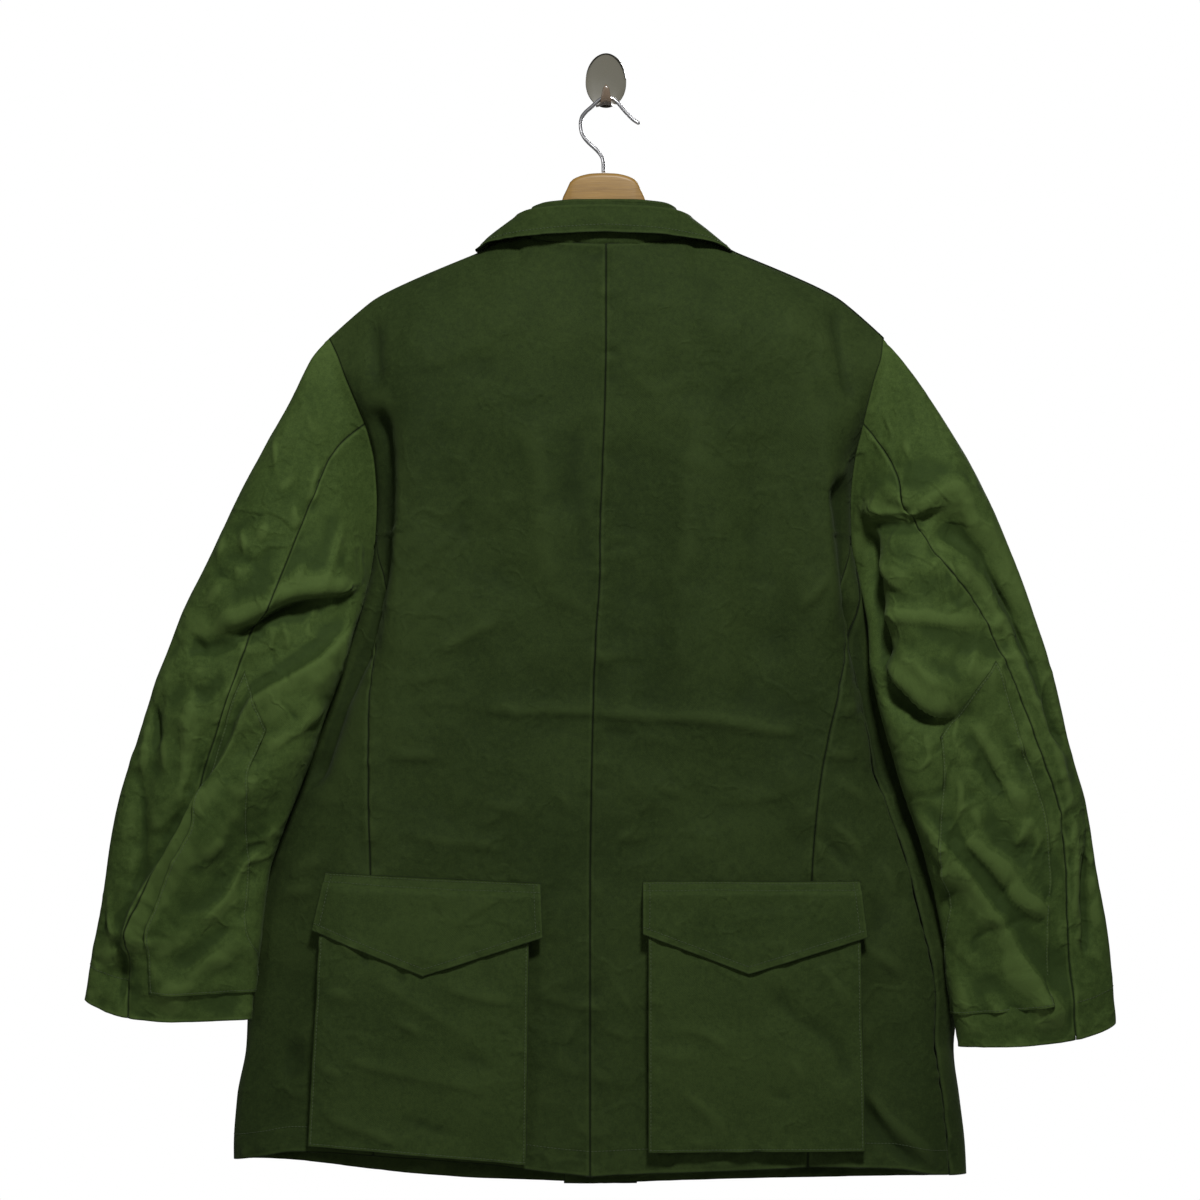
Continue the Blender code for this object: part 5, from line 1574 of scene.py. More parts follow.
# %% The creases of pockets and flaps
POCKET_SLACK = 0.55
POCKET_CREASES = (
    (2.0, 9, 3.5, -191, 830, -170, 838, -155, 852),
    (1.8, 8, 4, -149, 799, -105, 812, -69, 815),
    (1.5, 9, 4, -237, 861, -206, 871, -174, 879, -96, 895),
    (1.6, 4, 6, -256, 872, -240, 874, -224, 883),
    (-2.0, 12, 12, -138, 860, -110, 868, -86, 880),
    (1.9, 10, 4, -252, 914, -212, 928, -172, 943),
    (-1.4, 8, 8, -185, 914, -124, 935),
    (2.6, 5, 3, -232, 762, -224, 768, -215, 778),
    (-2.4, 3, 3, -211, 768, -209, 786),
    (-2.4, 3, 3, -177, 786, -179, 802),
    (1.2, 9, 5, -250, 803, -212, 816),
    (1.5, 14, 14, -208, 788, -147, 827, -103, 848),
    (-3.0, 16, 16, 140, 798, 171, 831, 203, 854, 217, 894),
    (1.8, 4, 7, 183, 774, 201, 796, 220, 819),
    (2.6, 10, 10, 62, 886, 77, 900, 96, 917, 113, 940),
    (1.6, 8, 4, 45, 842, 75, 840, 104, 852, 115, 863),
    (1.2, 6, 3, 132, 845, 150, 846),
    (1.5, 5, 5, 160, 861, 173, 879, 178, 894),
    (1.2, 8, 4, 40, 863, 90, 863),
    (-1.4, 6, 6, 140, 895, 172, 900),
    (1.2, 5, 3, 68, 940, 109, 938),
)
FLAP_CREASES = (
    (2.2, 8, 3.5, -139, 754, -120, 739, -101, 728, -84, 719),
    (1.8, 5, 3, -178, 775, -151, 777, -122, 773),
    (-1.4, 8, 8, -160, 727, -135, 740),
    (-1.9, 6, 5, 164, 716, 169, 735, 171, 748),
    (1.4, 5, 5, 106, 746, 136, 739, 186, 737),
    (-1.1, 6, 6, 76, 731, 61, 740),
    (-1.3, 7, 5, 102, 762, 131, 760, 148, 758),
)
print("creases of pockets and flaps:", len(POCKET_CREASES), len(FLAP_CREASES))


# %% Pocket fronts
def back_out_at(across, down):
    """How far the body's back is out from the wall, on either side of its middle seam."""
    left = body_out("left", across, down, "back")
    right = body_out("right", across, down, "back")
    return np.where(across < body["back_seam"](down), left, right)


def quad(corners, u, v):
    """Places in a four-sided patch, by shares from side to side and from its top to its bottom."""
    a, b, c, d = (np.array(corner, float) for corner in corners)
    u, v = u[..., None], v[..., None]
    return blend(blend(a, b, u), blend(d, c, u), v)


def pocket_detail(across, down):
    height, leant = creases_at(POCKET_CREASES, across, down)
    return height * POCKET_DEPTH + POCKET_SLACK * slack(across, down, 91), leant


def pocket_stand(v):
    """How far the pocket's front stands off the back, from its mouth down."""
    swell = np.sin(np.pi * np.minimum(v * 1.1, 1.0))
    return POCKET_MOUTH_STAND + (POCKET_STAND - POCKET_MOUTH_STAND) * swell


for side, corners in POCKETS.items():
    u, v = np.meshgrid(spaced(186.0, FINE), spaced(224.0, FINE))
    spot = quad(corners, u, v)
    across, down = spot[..., 0], spot[..., 1]
    points = np.stack((across, back_out_at(across, down) + pocket_stand(v), down), axis=-1)
    made = sheet(f"cloth_pocket_{side}", points, BODY_HUBS[side], pocket_detail(across, down),
                 (), ALL_ROUND, seed=93, gap=False)
    sew_in(made, trim_finish, f"pocket_{side}")


# %% Bellows round the pockets
BELLOWS_TUCK = 2.2


def pocket_outline(corners):
    """Shares along three sides of a pocket, with rounded lower corners."""
    a, b, c, d = (np.array(corner, float) for corner in corners)
    wide, high = np.linalg.norm(c - d), np.linalg.norm(d - a)
    ru, rv = POCKET_CORNER / wide, POCKET_CORNER / high
    turns = np.linspace(0, math.pi / 2, 7)
    path = [(0.0, (1 - rv) * i / 60) for i in range(60)]
    path += [(ru * (1 - math.cos(q)), 1 - rv + rv * math.sin(q)) for q in turns]
    path += [(blend(ru, 1 - ru, i / 50), 1.0) for i in range(1, 50)]
    path += [(1 - ru + ru * math.sin(q), 1 - rv + rv * math.cos(q)) for q in turns]
    path += [(1.0, (1 - rv) * (1 - i / 60)) for i in range(1, 61)]
    return np.array(path)


for side, corners in POCKETS.items():
    path = pocket_outline(corners)
    spot = quad(corners, path[:, 0], path[:, 1])
    way = unit(np.gradient(spot, axis=0))
    inward = np.stack((way[:, 1], -way[:, 0]), axis=1)
    inward *= np.sign(((spot.mean(axis=0) - spot) * inward).sum())
    under = back_out_at(spot[:, 0], spot[:, 1])
    low = under + back_detail(spot[:, 0], spot[:, 1])[0] + LYING_GAP
    high = under + pocket_detail(spot[:, 0], spot[:, 1])[0] + pocket_stand(path[:, 1]) - CAD_CLOTH - LYING_GAP
    shares = np.linspace(0, 1, 6)[:, None]
    tuck = BELLOWS_TUCK * np.sin(np.pi * shares) * np.ones_like(low)[None, :]
    ring = spot[None] + inward[None] * tuck[..., None]
    points = np.stack((ring[..., 0], blend(low[None], high[None], shares), ring[..., 1]), axis=-1)
    middle = spot.mean(axis=0)
    made = sheet(f"cloth_pocket_gusset_{side}", points, (middle[0], 60.0, middle[1]),
                 still(np.zeros(points.shape[:2])), seed=95, gap=False)
    sew_in(made, trim_finish, f"pocket_gusset_{side}")

# %% Flaps
FLAP_CLIMB = 0.3
FLAP_CLOTH = 1.5
FLAP_INSET = 6.4


def flap_points(side, shares, rows):
    """A flap's grid: rows lie on the back, climb to the pocket's mouth and then hang down its front."""
    a, b, c, tip, d = (np.array(corner, float) for corner in FLAPS[side])
    tip_share = (tip[0] - d[0]) / (c[0] - d[0])
    u = shares[None, :, None]
    upper = blend(a, b, u)
    before, after = blend(d, tip, u / tip_share), blend(tip, c, (u - tip_share) / (1 - tip_share))
    lower = np.where(u <= tip_share, before, after)
    mouth = blend(POCKETS[side][0][1], POCKETS[side][1][1], u[..., 0]) - FLAP_CLEARS
    reach = ((mouth - upper[..., 1]) / (lower[..., 1] - upper[..., 1]))[..., None]
    clear = blend(upper, lower, reach)
    q = rows[:, None, None]
    below = blend(clear, lower, (q - FLAP_CLIMB) / (1 - FLAP_CLIMB))
    spot = np.where(q <= FLAP_CLIMB, blend(upper, clear, q / FLAP_CLIMB), below)
    across, down = spot[..., 0], spot[..., 1]
    lying = CAD_CLOTH + LYING_GAP
    over = lying + FLAP_EASE + pocket_stand(np.maximum(down - mouth, 0.0) / 220)
    stand = blend(lying, over, smooth(q[..., 0] / FLAP_CLIMB))
    return np.stack((across, back_out_at(across, down) + stand, down), axis=-1)


for side in ("left", "right"):
    points = flap_points(side, spaced(190.0, 2.4), spaced(64.0, 2.0))
    across, down = points[..., 0], points[..., 2]
    borders = from_borders(points)
    inner = np.minimum.reduce([borders["last_row"], borders["first_column"], borders["last_column"]])
    hemmed = 0.55 * bump(inner - 3.0, 2.4) - 0.75 * bump(inner - FLAP_INSET, 1.5)
    hemmed = hemmed - 1.9 * bump(borders["first_row"] - 9.2, 1.9)
    hemmed = hemmed - 0.9 * bump(borders["first_row"] - 4.5, 3.2)
    rows = smooth(run_along(points, 0) / 16.0)
    below = blend(back_detail(across, down)[0], pocket_detail(across, down)[0], rows)
    height, leant = creases_at(FLAP_CREASES, across, down)
    height = height * rows + below + hemmed
    made = sheet(f"cloth_flap_{side}", points, (across.mean(), 40.0, 740.0), (height, leant),
                 (), ("last_row",), thickness=FLAP_CLOTH, seed=99, gap=False)
    sew_in(made, trim_finish, f"flap_{side}")

# %% [markdown]
# ## Stitching
#
# Army tailoring is held by long rows of lockstitch, about eight stitches to the inch. Each stitch is a tiny
# rod of thread laid on the finished cloth. A row is found on the sheet itself, a set distance inside one of
# its borders, so it follows every pucker.

# %% Rows of stitches
STITCH_PITCH, STITCH_LENGTH, STITCH_RADIUS = 3.2, 2.3, 0.27


def line_inside(name, border, inset, start=0.0, end=1.0):
    """Points and normals of a line that runs inset mm inside a border of a finished sheet."""
    points, normals = sheets[name]["points"], sheets[name]["normals"]
    distance = sheets[name]["borders"][border]
    if border.endswith("column"):
        points, normals, distance = points.transpose(1, 0, 2), normals.transpose(1, 0, 2), distance.T
    if border.startswith("last"):
        points, normals, distance = points[::-1], normals[::-1], distance[::-1]
    lines = []
    first, last = int(start * (points.shape[1] - 1)), int(end * (points.shape[1] - 1))
    for j in range(first, last + 1):
        row = np.interp(inset, distance[:, j], np.arange(len(distance)))
        i = min(int(row), len(distance) - 2)
        lines.append(np.concatenate((blend(points[i, j], points[i + 1, j], row - i),
                                     blend(normals[i, j], normals[i + 1, j], row - i))))
    return np.array(lines)


print("sheets to stitch:", len(sheets))

# %% Stitches of thread
STITCH_LIFT = 0.12


def stitched(name, rows, material):
    """One piece of small thread rods along the given lines."""
    bm = bmesh.new()
    count = 0
    for row in rows:
        run = np.concatenate(([0.0], np.cumsum(np.linalg.norm(np.diff(row[:, :3], axis=0), axis=1))))
        for q in np.arange(1.0, run[-1] - STITCH_PITCH, STITCH_PITCH):
            ends = [[np.interp(p, run, row[:, k]) for k in range(6)] for p in (q, q + STITCH_LENGTH)]
            a, b = (Vector(world(e[:3] + e[3:] * STITCH_LIFT)) for e in np.array(ends))
            turn = (b - a).to_track_quat("Z", "Y").to_matrix().to_4x4()
            place = Matrix.Translation((a + b) / 2) @ turn
            bmesh.ops.create_cone(bm, cap_ends=True, segments=5, radius1=STITCH_RADIUS * MM,
                                  radius2=STITCH_RADIUS * MM, depth=(b - a).length, matrix=place)
            count += 1
    mesh = bpy.data.meshes.new(name)
    bm.to_mesh(mesh)
    bm.free()
    mesh.shade_smooth()
    mesh.materials.append(material)
    made = bpy.data.objects.new(name, mesh)
    bpy.context.scene.collection.objects.link(made)
    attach(made, "root")
    print(f"{name}: {count} stitches")


def thread_finish(name, colour):
    f = Finish(name)
    place = f.node("ShaderNodeTexCoord", output="Object")
    f.set(Base_Color=f.mix(f.noise(place, 700.0, 1.0) * 0.6, colour, FADED_DYE_AND_PAINTED_HIGHLIGHT), Roughness=0.6)
    return f.material


thread = thread_finish("thread", (0.020, 0.033, 0.011, 1.0))
print("stitches to the inch:", round(25.4 / STITCH_PITCH, 1))

# %% Stitching on flaps, pockets, patches, collar, cuffs and hems
CUFF_DEPTH, HEM_DEPTH = 33.0, 22.0
FLAP_BAND, FLAP_TOP, POCKET_INSET, POCKET_BAND = 9.5, 1.8, 2.2, 20.0
PATCH_INSET, COLLAR_INSET = 2.0, 6.5
for side in ("left", "right"):
    flap = f"cloth_flap_{side}"
    rows = [line_inside(flap, "last_row", FLAP_INSET),
            line_inside(flap, "first_column", FLAP_INSET, 0.06, 0.9),
            line_inside(flap, "last_column", FLAP_INSET, 0.06, 0.9),
            line_inside(flap, "first_row", FLAP_BAND), line_inside(flap, "first_row", FLAP_TOP)]
    stitched(f"stitches_flap_{side}", rows, thread)
    pocket = f"cloth_pocket_{side}"
    rows = [line_inside(pocket, border, POCKET_INSET) for border in ALL_ROUND[1:]]
    rows.append(line_inside(pocket, "first_row", POCKET_BAND))
    stitched(f"stitches_pocket_{side}", rows, thread)
    patch = f"cloth_elbow_patch_{side}"
    rows = [line_inside(patch, border, PATCH_INSET) for border in ALL_ROUND]
    stitched(f"stitches_patch_{side}", rows, thread)
    rows = [line_inside(f"cloth_sleeve_{side}_top", "last_row", CUFF_DEPTH),
            line_inside(f"cloth_sleeve_{side}_under", "last_row", CUFF_DEPTH, PATCH_SHARE, 1.0)]
    stitched(f"stitches_cuff_{side}", rows, thread)
    panels = ("back", "side_back", "front")
    rows = [line_inside(f"cloth_{name}_{side}", "last_row", HEM_DEPTH) for name in panels]
    stitched(f"stitches_hem_{side}", rows, thread)
stitched("stitches_collar", [line_inside("cloth_collar_fall", "last_row", COLLAR_INSET)], thread)

# %% [markdown]
# ## Buttons
#
# Five flat army buttons close the front. A button is turned on a lathe, so its profile is spun about its
# axis, and four holes are then cut through it, all in one mesh that is copied for each button.

# %% Button plastic
def button_finish():
    f = Finish("button_plastic")
    place = f.node("ShaderNodeTexCoord", output="Object")
    tone = f.noise(place, 260.0, 3.0)
    base = f.mix(tone, (0.014, 0.021, 0.009, 1.0), (0.026, 0.036, 0.016, 1.0))
    f.set(Base_Color=base, Roughness=0.36 + tone * 0.2, Coat_Weight=0.15)
    return f.material


plastic = button_finish()
print(plastic.name, "made")

# %% The button's blank and drills
BUTTON_PROFILE = (
    (0.0, 0.55), (0.45, 0.55), (0.62, 0.62), (0.74, 0.92), (0.86, 1.0),
    (0.97, 0.86), (1.0, 0.55), (0.97, 0.2), (0.86, 0.0), (0.0, 0.0),
)
HOLE_RADIUS, HOLE_OFFSET, HOLE_SIDES = 1.0, 2.1, 14
LATHE_STEPS = 36


def turned_blank():
    """The button without holes, its profile spun about its axis."""
    bm = bmesh.new()
    radius, thickness = BUTTON_RADIUS * MM, BUTTON_THICKNESS * MM
    spots = [bm.verts.new((r * radius, 0.0, (h - 0.5) * thickness)) for r, h in BUTTON_PROFILE]
    lines = [bm.edges.new(pair) for pair in zip(spots, spots[1:])]
    bmesh.ops.spin(bm, geom=spots + lines, cent=(0, 0, 0), axis=(0, 0, 1), angle=2 * math.pi,
                   steps=LATHE_STEPS, use_merge=True)
    bmesh.ops.remove_doubles(bm, verts=bm.verts[:], dist=1e-6)
    bmesh.ops.recalc_face_normals(bm, faces=bm.faces[:])
    solid = bpy.data.meshes.new("button_solid")
    bm.to_mesh(solid)
    bm.free()
    return solid


def drills():
    """Four rods where the holes go."""
    bm = bmesh.new()
    for x, y in ((1, 1), (1, -1), (-1, 1), (-1, -1)):
        place = Matrix.Translation((x * HOLE_OFFSET * MM, y * HOLE_OFFSET * MM, 0))
        bmesh.ops.create_cone(bm, cap_ends=True, segments=HOLE_SIDES, radius1=HOLE_RADIUS * MM,
                              radius2=HOLE_RADIUS * MM, depth=4 * BUTTON_THICKNESS * MM, matrix=place)
    drill = bpy.data.meshes.new("button_drill")
    bm.to_mesh(drill)
    bm.free()
    return drill


print("places along the button's profile:", len(BUTTON_PROFILE))


# %% Button mesh
def button_mesh():
    """The blank with its holes cut through."""
    blank = bpy.data.objects.new("button_blank", turned_blank())
    cutter = bpy.data.objects.new("button_cutter", drills())
    for piece in (blank, cutter):
        bpy.context.scene.collection.objects.link(piece)
    holes = blank.modifiers.new("holes", "BOOLEAN")
    holes.operation = "DIFFERENCE"
    holes.object = cutter
    bpy.context.view_layer.update()
    done = bpy.data.meshes.new_from_object(blank.evaluated_get(bpy.context.evaluated_depsgraph_get()))
    bpy.data.objects.remove(blank)
    bpy.data.objects.remove(cutter)
    return done


plain_button = button_mesh()
print("faces of a button:", len(plain_button.polygons))


# %% Five buttons
BUTTON_SUNK = 0.36


def finished(name, mesh, slot, *nodes):
    """A piece that isn't cloth, in place of its CAD nodes."""
    made = bpy.data.objects.new(name, mesh)
    bpy.context.scene.collection.objects.link(made)
    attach(made, "root")
    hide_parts(*nodes)
    print(f"{name}: {len(mesh.polygons)} faces")
    return made


plain_button.materials.clear()
plain_button.materials.append(plastic)
for i, down in enumerate(BUTTON_DOWNS):
    front = float(body_out("left", np.array([FRONT_CENTRE]), np.array([float(down)]), "front")[0])
    middle = world((FRONT_CENTRE, front - BUTTON_SUNK - BUTTON_THICKNESS / 2, down))
    mesh = plain_button.copy()
    mesh.transform(Matrix.Translation(Vector(middle)) @ Matrix.Rotation(-math.pi / 2, 4, "X"))
    mesh.shade_smooth()
    finished(f"shaped_button_{i + 1}", mesh, "button", f"button_{i + 1}")

# %% [markdown]
# ## The wooden hanger
#
# The hanger is bent beech under clear lacquer, a rounded bar that swells to a domed neck in the middle. Its
# sections change all along it, so a grid is rolled into a tube round the sections of the table. The grain
# is drawn by stretched noise along the bar.

# %% Wood
def stretched(f, place, scale):
    return f.node("ShaderNodeMapping", {}, {"Vector": place, "Scale": scale}, "Vector")


def wood_finish():
    f = Finish("beech")
    place = f.node("ShaderNodeTexCoord", output="Object")
    rings = f.noise(stretched(f, place, (1.0, 6.0, 9.0)), 16.0, 4.0, 0.6)
    grain = f.noise(stretched(f, place, (1.0, 10.0, 26.0)), 55.0, 3.0)
    flecks = f.noise(stretched(f, place, (1.0, 4.0, 5.0)), 420.0, 1.0)
    tone = rings * 0.55 + grain * 0.45
    base = f.mix(f.step(tone, 0.3, 0.7), (0.245, 0.142, 0.034, 1.0), (0.160, 0.088, 0.020, 1.0))
    base = f.mix(f.step(flecks, 0.60, 0.72) * 0.4, base, (0.20, 0.115, 0.042, 1.0))
    normal = f.node("ShaderNodeBump", {}, {"Strength": 0.25, "Distance": 0.0003, "Height": grain}, "Normal")
    f.set(Base_Color=base, Roughness=0.42 + rings * 0.12, Normal=normal)
    f.set(Coat_Weight=0.06, Coat_Roughness=0.3, Specular_IOR_Level=0.3)
    return f.material


beech = wood_finish()
print(beech.name, "made")

# %% The hanger's bar
HANGER_AROUND, HANGER_STEPS, HANGER_CORNER = 28, 132, 5.5
HANGER_REACH = float(HANGER[-1][0])


def tube(name, place_ring, around, steps):
    """A grid rolled into a tube: place_ring gives the points of all rings from shares along and round."""
    bm = bmesh.new()
    bmesh.ops.create_grid(bm, x_segments=around, y_segments=steps, size=0.5)
    bm.verts.ensure_lookup_table()
    u = np.array([v.co.x + 0.5 for v in bm.verts])
    v = np.array([v.co.y + 0.5 for v in bm.verts])
    for vertex, spot in zip(bm.verts, world(place_ring(v, u))):
        vertex.co = spot
    bmesh.ops.remove_doubles(bm, verts=bm.verts[:], dist=1e-6)
    bmesh.ops.holes_fill(bm, edges=[e for e in bm.edges if e.is_boundary], sides=0)
    bmesh.ops.recalc_face_normals(bm, faces=bm.faces[:])
    mesh = bpy.data.meshes.new(name)
    bm.to_mesh(mesh)
    bm.free()
    mesh.shade_smooth()
    return mesh


def hanger_ring(along, round_share):
    """Points of the bar: a flattened round whose corners are softened more above than at its sides."""
    across = (along * 2 - 1) * HANGER_REACH
    high, low = hanger["top"](np.abs(across)), hanger["bottom"](np.abs(across))
    half = hanger["half_thickness"](np.abs(across))
    turn = 2 * np.pi * (round_share % 1.0)
    out = HANGER_MIDDLE_OUT + half * np.sign(np.cos(turn)) * np.abs(np.cos(turn)) ** 0.7
    lift = HANGER_CORNER * (1 - np.abs(np.sin(turn)) ** 0.9)
    down = np.where(np.sin(turn) > 0, high + lift, low - lift)
    down = np.where(np.abs(np.sin(turn)) < 1e-9, (high + low) / 2, down)
    return np.stack((across + HANGER_MIDDLE_ACROSS, out, down), axis=-1)


mesh = tube("hanger_wood", hanger_ring, HANGER_AROUND, HANGER_STEPS)
mesh.materials.append(beech)
finished("hanger_wood", mesh, "wood", "hanger_body")

# %% [markdown]
# ## The hanger's wire hook
#
# The hook is one length of polished steel wire, bent over the wall hook and out again in a short tail with
# a rounded end. A tube of small rings follows its route.

# %% Steel
def steel_finish():
    f = Finish("polished_steel")
    place = f.node("ShaderNodeTexCoord", output="Object")
    rub = f.noise(place, 180.0, 3.0)
    base = f.mix(rub * 0.5, (0.78, 0.78, 0.80, 1.0), (0.55, 0.55, 0.57, 1.0))
    f.set(Base_Color=base, Roughness=0.16 + rub * 0.14, Metallic=1.0)
    return f.material


steel = steel_finish()
print(steel.name, "made")

# %% The wire
WIRE_AROUND, WIRE_STEPS = 12, 120
WIRE_END = 1.6
route = np.array(WIRE_ROUTE, float)
stations = np.concatenate(([0.0], np.cumsum(np.linalg.norm(np.diff(route, axis=0), axis=1))))
route_across, route_down = curve_through(stations, route[:, 0]), curve_through(stations, route[:, 1])


def wire_ring(along, round_share):
    """Points round the wire, which narrows to a rounded end over its last WIRE_END mm."""
    q = along * stations[-1]
    before, after = q - 0.4, q + 0.4
    run = np.stack((route_across(after) - route_across(before), route_down(after) - route_down(before)), -1)
    run = unit(run)
    turn = 2 * np.pi * (round_share % 1.0)
    left = stations[-1] - q
    radius = WIRE_RADIUS * np.sqrt(np.clip(1 - (1 - np.clip(left / WIRE_END, 0, 1)) ** 2, 0.02, 1))
    across = route_across(q) + radius * np.cos(turn) * run[:, 1]
    down = route_down(q) - radius * np.cos(turn) * run[:, 0]
    return np.stack((across, WIRE_OUT + radius * np.sin(turn), down), axis=-1)


mesh = tube("hanger_wire", wire_ring, WIRE_AROUND, WIRE_STEPS)
mesh.materials.append(steel)
finished("hanger_wire", mesh, "wire", "hanger_hook")

# %% [markdown]
# ## The wall hook
#
# A glossy grey oval of moulded plastic, with a prong that curls out and up. The oval starts as a short
# cylinder, which is scaled to its oval and has its front edge bevelled round. The prong is a tapering
# tongue, closed with a rounded edge.

# %% Plastic
def plastic_finish(name, colour, second):
    f = Finish(name)
    place = f.node("ShaderNodeTexCoord", output="Object")
    tone = f.noise(place, 90.0, 3.0)
    base = f.mix(tone, colour, second)
    f.set(Base_Color=base, Roughness=0.22 + tone * 0.12)
    f.set(Coat_Weight=0.3, Coat_Roughness=0.12)
    return f.material


grey = plastic_finish("grey_plastic", (0.108, 0.102, 0.077, 1.0), (0.088, 0.083, 0.063, 1.0))
# The prong's warmer, lighter colour is a painted highlight: the brownish gleam on its curl, spread over the
# whole prong.
prong_grey_painted_highlight = plastic_finish("prong_plastic_painted_highlight", (0.150, 0.105, 0.070, 1.0), (0.110, 0.085, 0.062, 1.0))
print(grey.name, "and", prong_grey_painted_highlight.name, "made")

# %% The plate
PLATE_SIDES, PLATE_BEVEL, PLATE_RIM, PLATE_DOME = 72, 1.6, 2.4, 0.35
bm = bmesh.new()
bmesh.ops.create_cone(bm, cap_ends=True, segments=PLATE_SIDES, radius1=1.0, radius2=1.0, depth=1.0)
for vertex in bm.verts:
    x, y, z = vertex.co
    out = PLATE_THICKNESS if z > 0 else 0.0
    vertex.co = world((x * PLATE_HALF_WIDTH, out, y * PLATE_HALF_HEIGHT))
half_way = -0.5 * PLATE_THICKNESS * MM
front_rim = [e for e in bm.edges if all(v.co.y < half_way for v in e.verts)]
bmesh.ops.bevel(bm, geom=front_rim, offset=PLATE_BEVEL * MM, segments=5, affect="EDGES", profile=0.5,
                material=-1)
front_cap = [f for f in bm.faces if len(f.verts) > 20 and f.calc_center_median().y < half_way]
bmesh.ops.inset_region(bm, faces=front_cap, thickness=PLATE_RIM * MM, depth=PLATE_DOME * MM)
bmesh.ops.recalc_face_normals(bm, faces=bm.faces[:])
print("faces of the plate:", len(bm.faces))

# %% The prong, joined to the plate's piece
PRONG_AROUND, PRONG_STEPS = 28, 40
PRONG_LAST_STEP = PRONG[-1][0]


def prong_ring(along, round_share):
    """Rings round the tongue's section: flat above and below, round at both sides."""
    step = along * PRONG_LAST_STEP
    turn = 2 * np.pi * (round_share % 1.0)
    share = np.sign(np.cos(turn)) * np.abs(np.cos(turn)) ** 0.7
    thick = PRONG_THICKNESS / 2 * np.abs(np.sin(turn)) ** 0.55 * np.sign(np.sin(turn))
    tip = np.sqrt(np.clip(1 - (np.clip((step - 6.2) / 0.8, 0, 1)) ** 2, 0.05, 1))
    run = np.stack((prong["out"](step + 0.02) - prong["out"](step - 0.02),
                    prong["down"](step + 0.02) - prong["down"](step - 0.02)), axis=-1)
    run = unit(run)
    down = prong["down"](step) + PRONG_CROWN * share**2 * (1 - np.clip(step - 4, 0, 1) * 0.5)
    out = prong["out"](step) + thick * tip * -run[:, 1]
    down = down + thick * tip * run[:, 0]
    return np.stack((share * prong["half_width"](step) * tip, out, down), axis=-1)


tongue = tube("prong", prong_ring, PRONG_AROUND, PRONG_STEPS)
tongue_bm = bmesh.new()
tongue_bm.from_mesh(tongue)
for face in tongue_bm.faces:
    face.material_index = 1
tongue_bm.to_mesh(tongue)
tongue_bm.free()
bm.from_mesh(tongue)
mesh = bpy.data.meshes.new("wall_hook_moulding")
bm.to_mesh(mesh)
bm.free()
mesh.materials.append(grey)
mesh.materials.append(prong_grey_painted_highlight)
mesh.shade_smooth()
mesh.set_sharp_from_angle(angle=math.radians(40))
finished("wall_hook_moulding", mesh, "plastic", "wall_hook")

# %% [markdown]
# ## Floor, light and camera
#
# The jacket is shown as in a plain studio: a white surround, a pale floor far below, a strong light high
# in front, a weaker and broader one low on the left, and a weak one on the wall's side for a look at the
# jacket's front. The camera stands square to the back, level with its middle, as far off as a person would
# stand to take the picture.

# %% Floor
bm = bmesh.new()
bmesh.ops.create_grid(bm, x_segments=1, y_segments=1, size=1.2)
mesh = bpy.data.meshes.new("floor")
bm.to_mesh(mesh)
bm.free()
FLOOR_HEIGHT = -1.8
mesh.transform(Matrix.Translation((0.0, 0.0, FLOOR_HEIGHT)))
floor = bpy.data.objects.new("floor", mesh)
bpy.context.scene.collection.objects.link(floor)
f = Finish("pale_floor")
place = f.node("ShaderNodeTexCoord", output="Object")
f.set(Base_Color=f.mix(f.noise(place, 3.0), (0.78, 0.78, 0.77, 1.0), (0.84, 0.84, 0.83, 1.0)), Roughness=0.7)
mesh.materials.append(f.material)

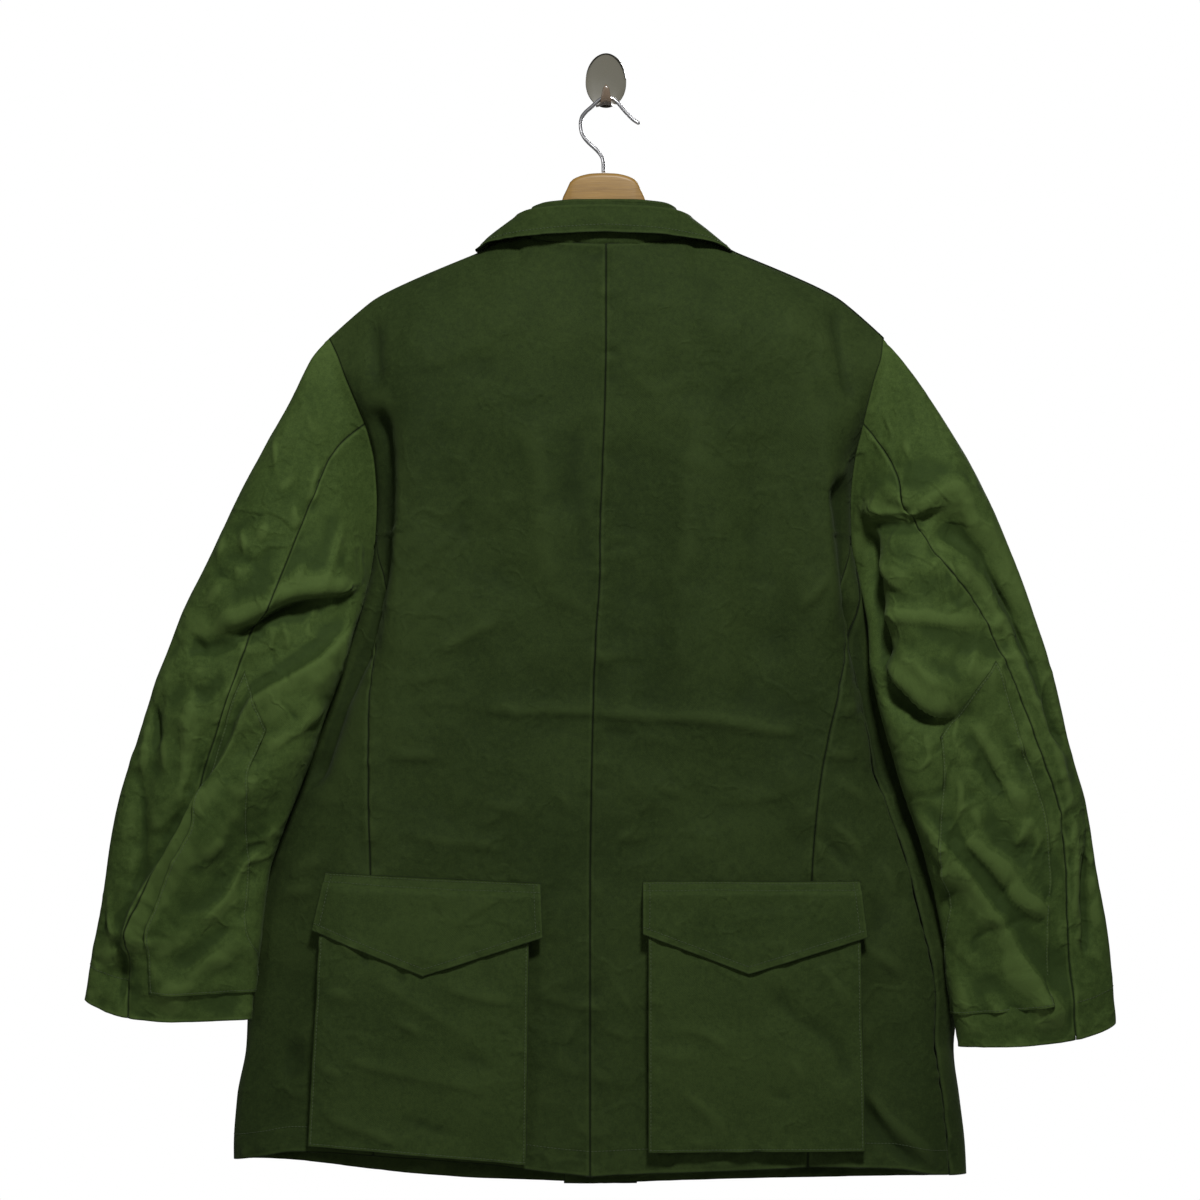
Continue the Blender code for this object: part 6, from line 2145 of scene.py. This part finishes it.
# %% World
SURROUND_LIGHT = 0.13
surround = bpy.data.worlds.new("white_surround")
bpy.context.scene.world = surround
surround.use_nodes = True
tree = surround.node_tree
tree.nodes.clear()
seen = tree.nodes.new("ShaderNodeBackground")
seen.inputs["Color"].default_value = (1.0, 1.0, 1.0, 1.0)
lit = tree.nodes.new("ShaderNodeBackground")
lit.inputs["Color"].default_value = (1.0, 1.0, 1.0, 1.0)
lit.inputs["Strength"].default_value = SURROUND_LIGHT
path = tree.nodes.new("ShaderNodeLightPath")
choice = tree.nodes.new("ShaderNodeMixShader")
tree.links.new(path.outputs["Is Camera Ray"], choice.inputs[0])
tree.links.new(lit.outputs[0], choice.inputs[1])
tree.links.new(seen.outputs[0], choice.inputs[2])
tree.links.new(choice.outputs[0], tree.nodes.new("ShaderNodeOutputWorld").inputs[0])
print(surround.name, "lights at", SURROUND_LIGHT)


# %% Lights
def soft_light(name, place, target, size, power):
    lamp = bpy.data.lights.new(name, "AREA")
    lamp.shape = "SQUARE"
    lamp.size = size
    lamp.energy = power
    made = bpy.data.objects.new(name, lamp)
    made.location = place
    made.rotation_euler = (Vector(target) - Vector(place)).to_track_quat("-Z", "Y").to_euler()
    bpy.context.scene.collection.objects.link(made)
    print(f"{name} light: {power} W")


soft_light("key", (0.35, -2.1, 1.5), (0.0, 0.0, -0.5), 0.4, 96)
soft_light("fill", (-1.7, -2.6, -0.2), (-0.2, 0.0, -0.6), 0.9, 11)
soft_light("wall side", (0.9, 2.5, 0.3), (0.0, 0.0, -0.5), 1.0, 40)

# %% Camera
DISTANCE, ACROSS, DOWN, FRAME_WIDTH = 4.45, -0.0053, 0.462, 1.056
lens = bpy.data.cameras.new("camera")
lens.sensor_width = 36.0
lens.lens = 36.0 * DISTANCE / FRAME_WIDTH
camera = bpy.data.objects.new("camera", lens)
camera.location = (ACROSS, -DISTANCE - 0.05, -DOWN)
camera.rotation_euler = (math.pi / 2, 0.0, 0.0)
bpy.context.scene.collection.objects.link(camera)
bpy.context.scene.camera = camera
bpy.context.scene.view_settings.view_transform = "Standard"
print("lens:", round(lens.lens), "mm")
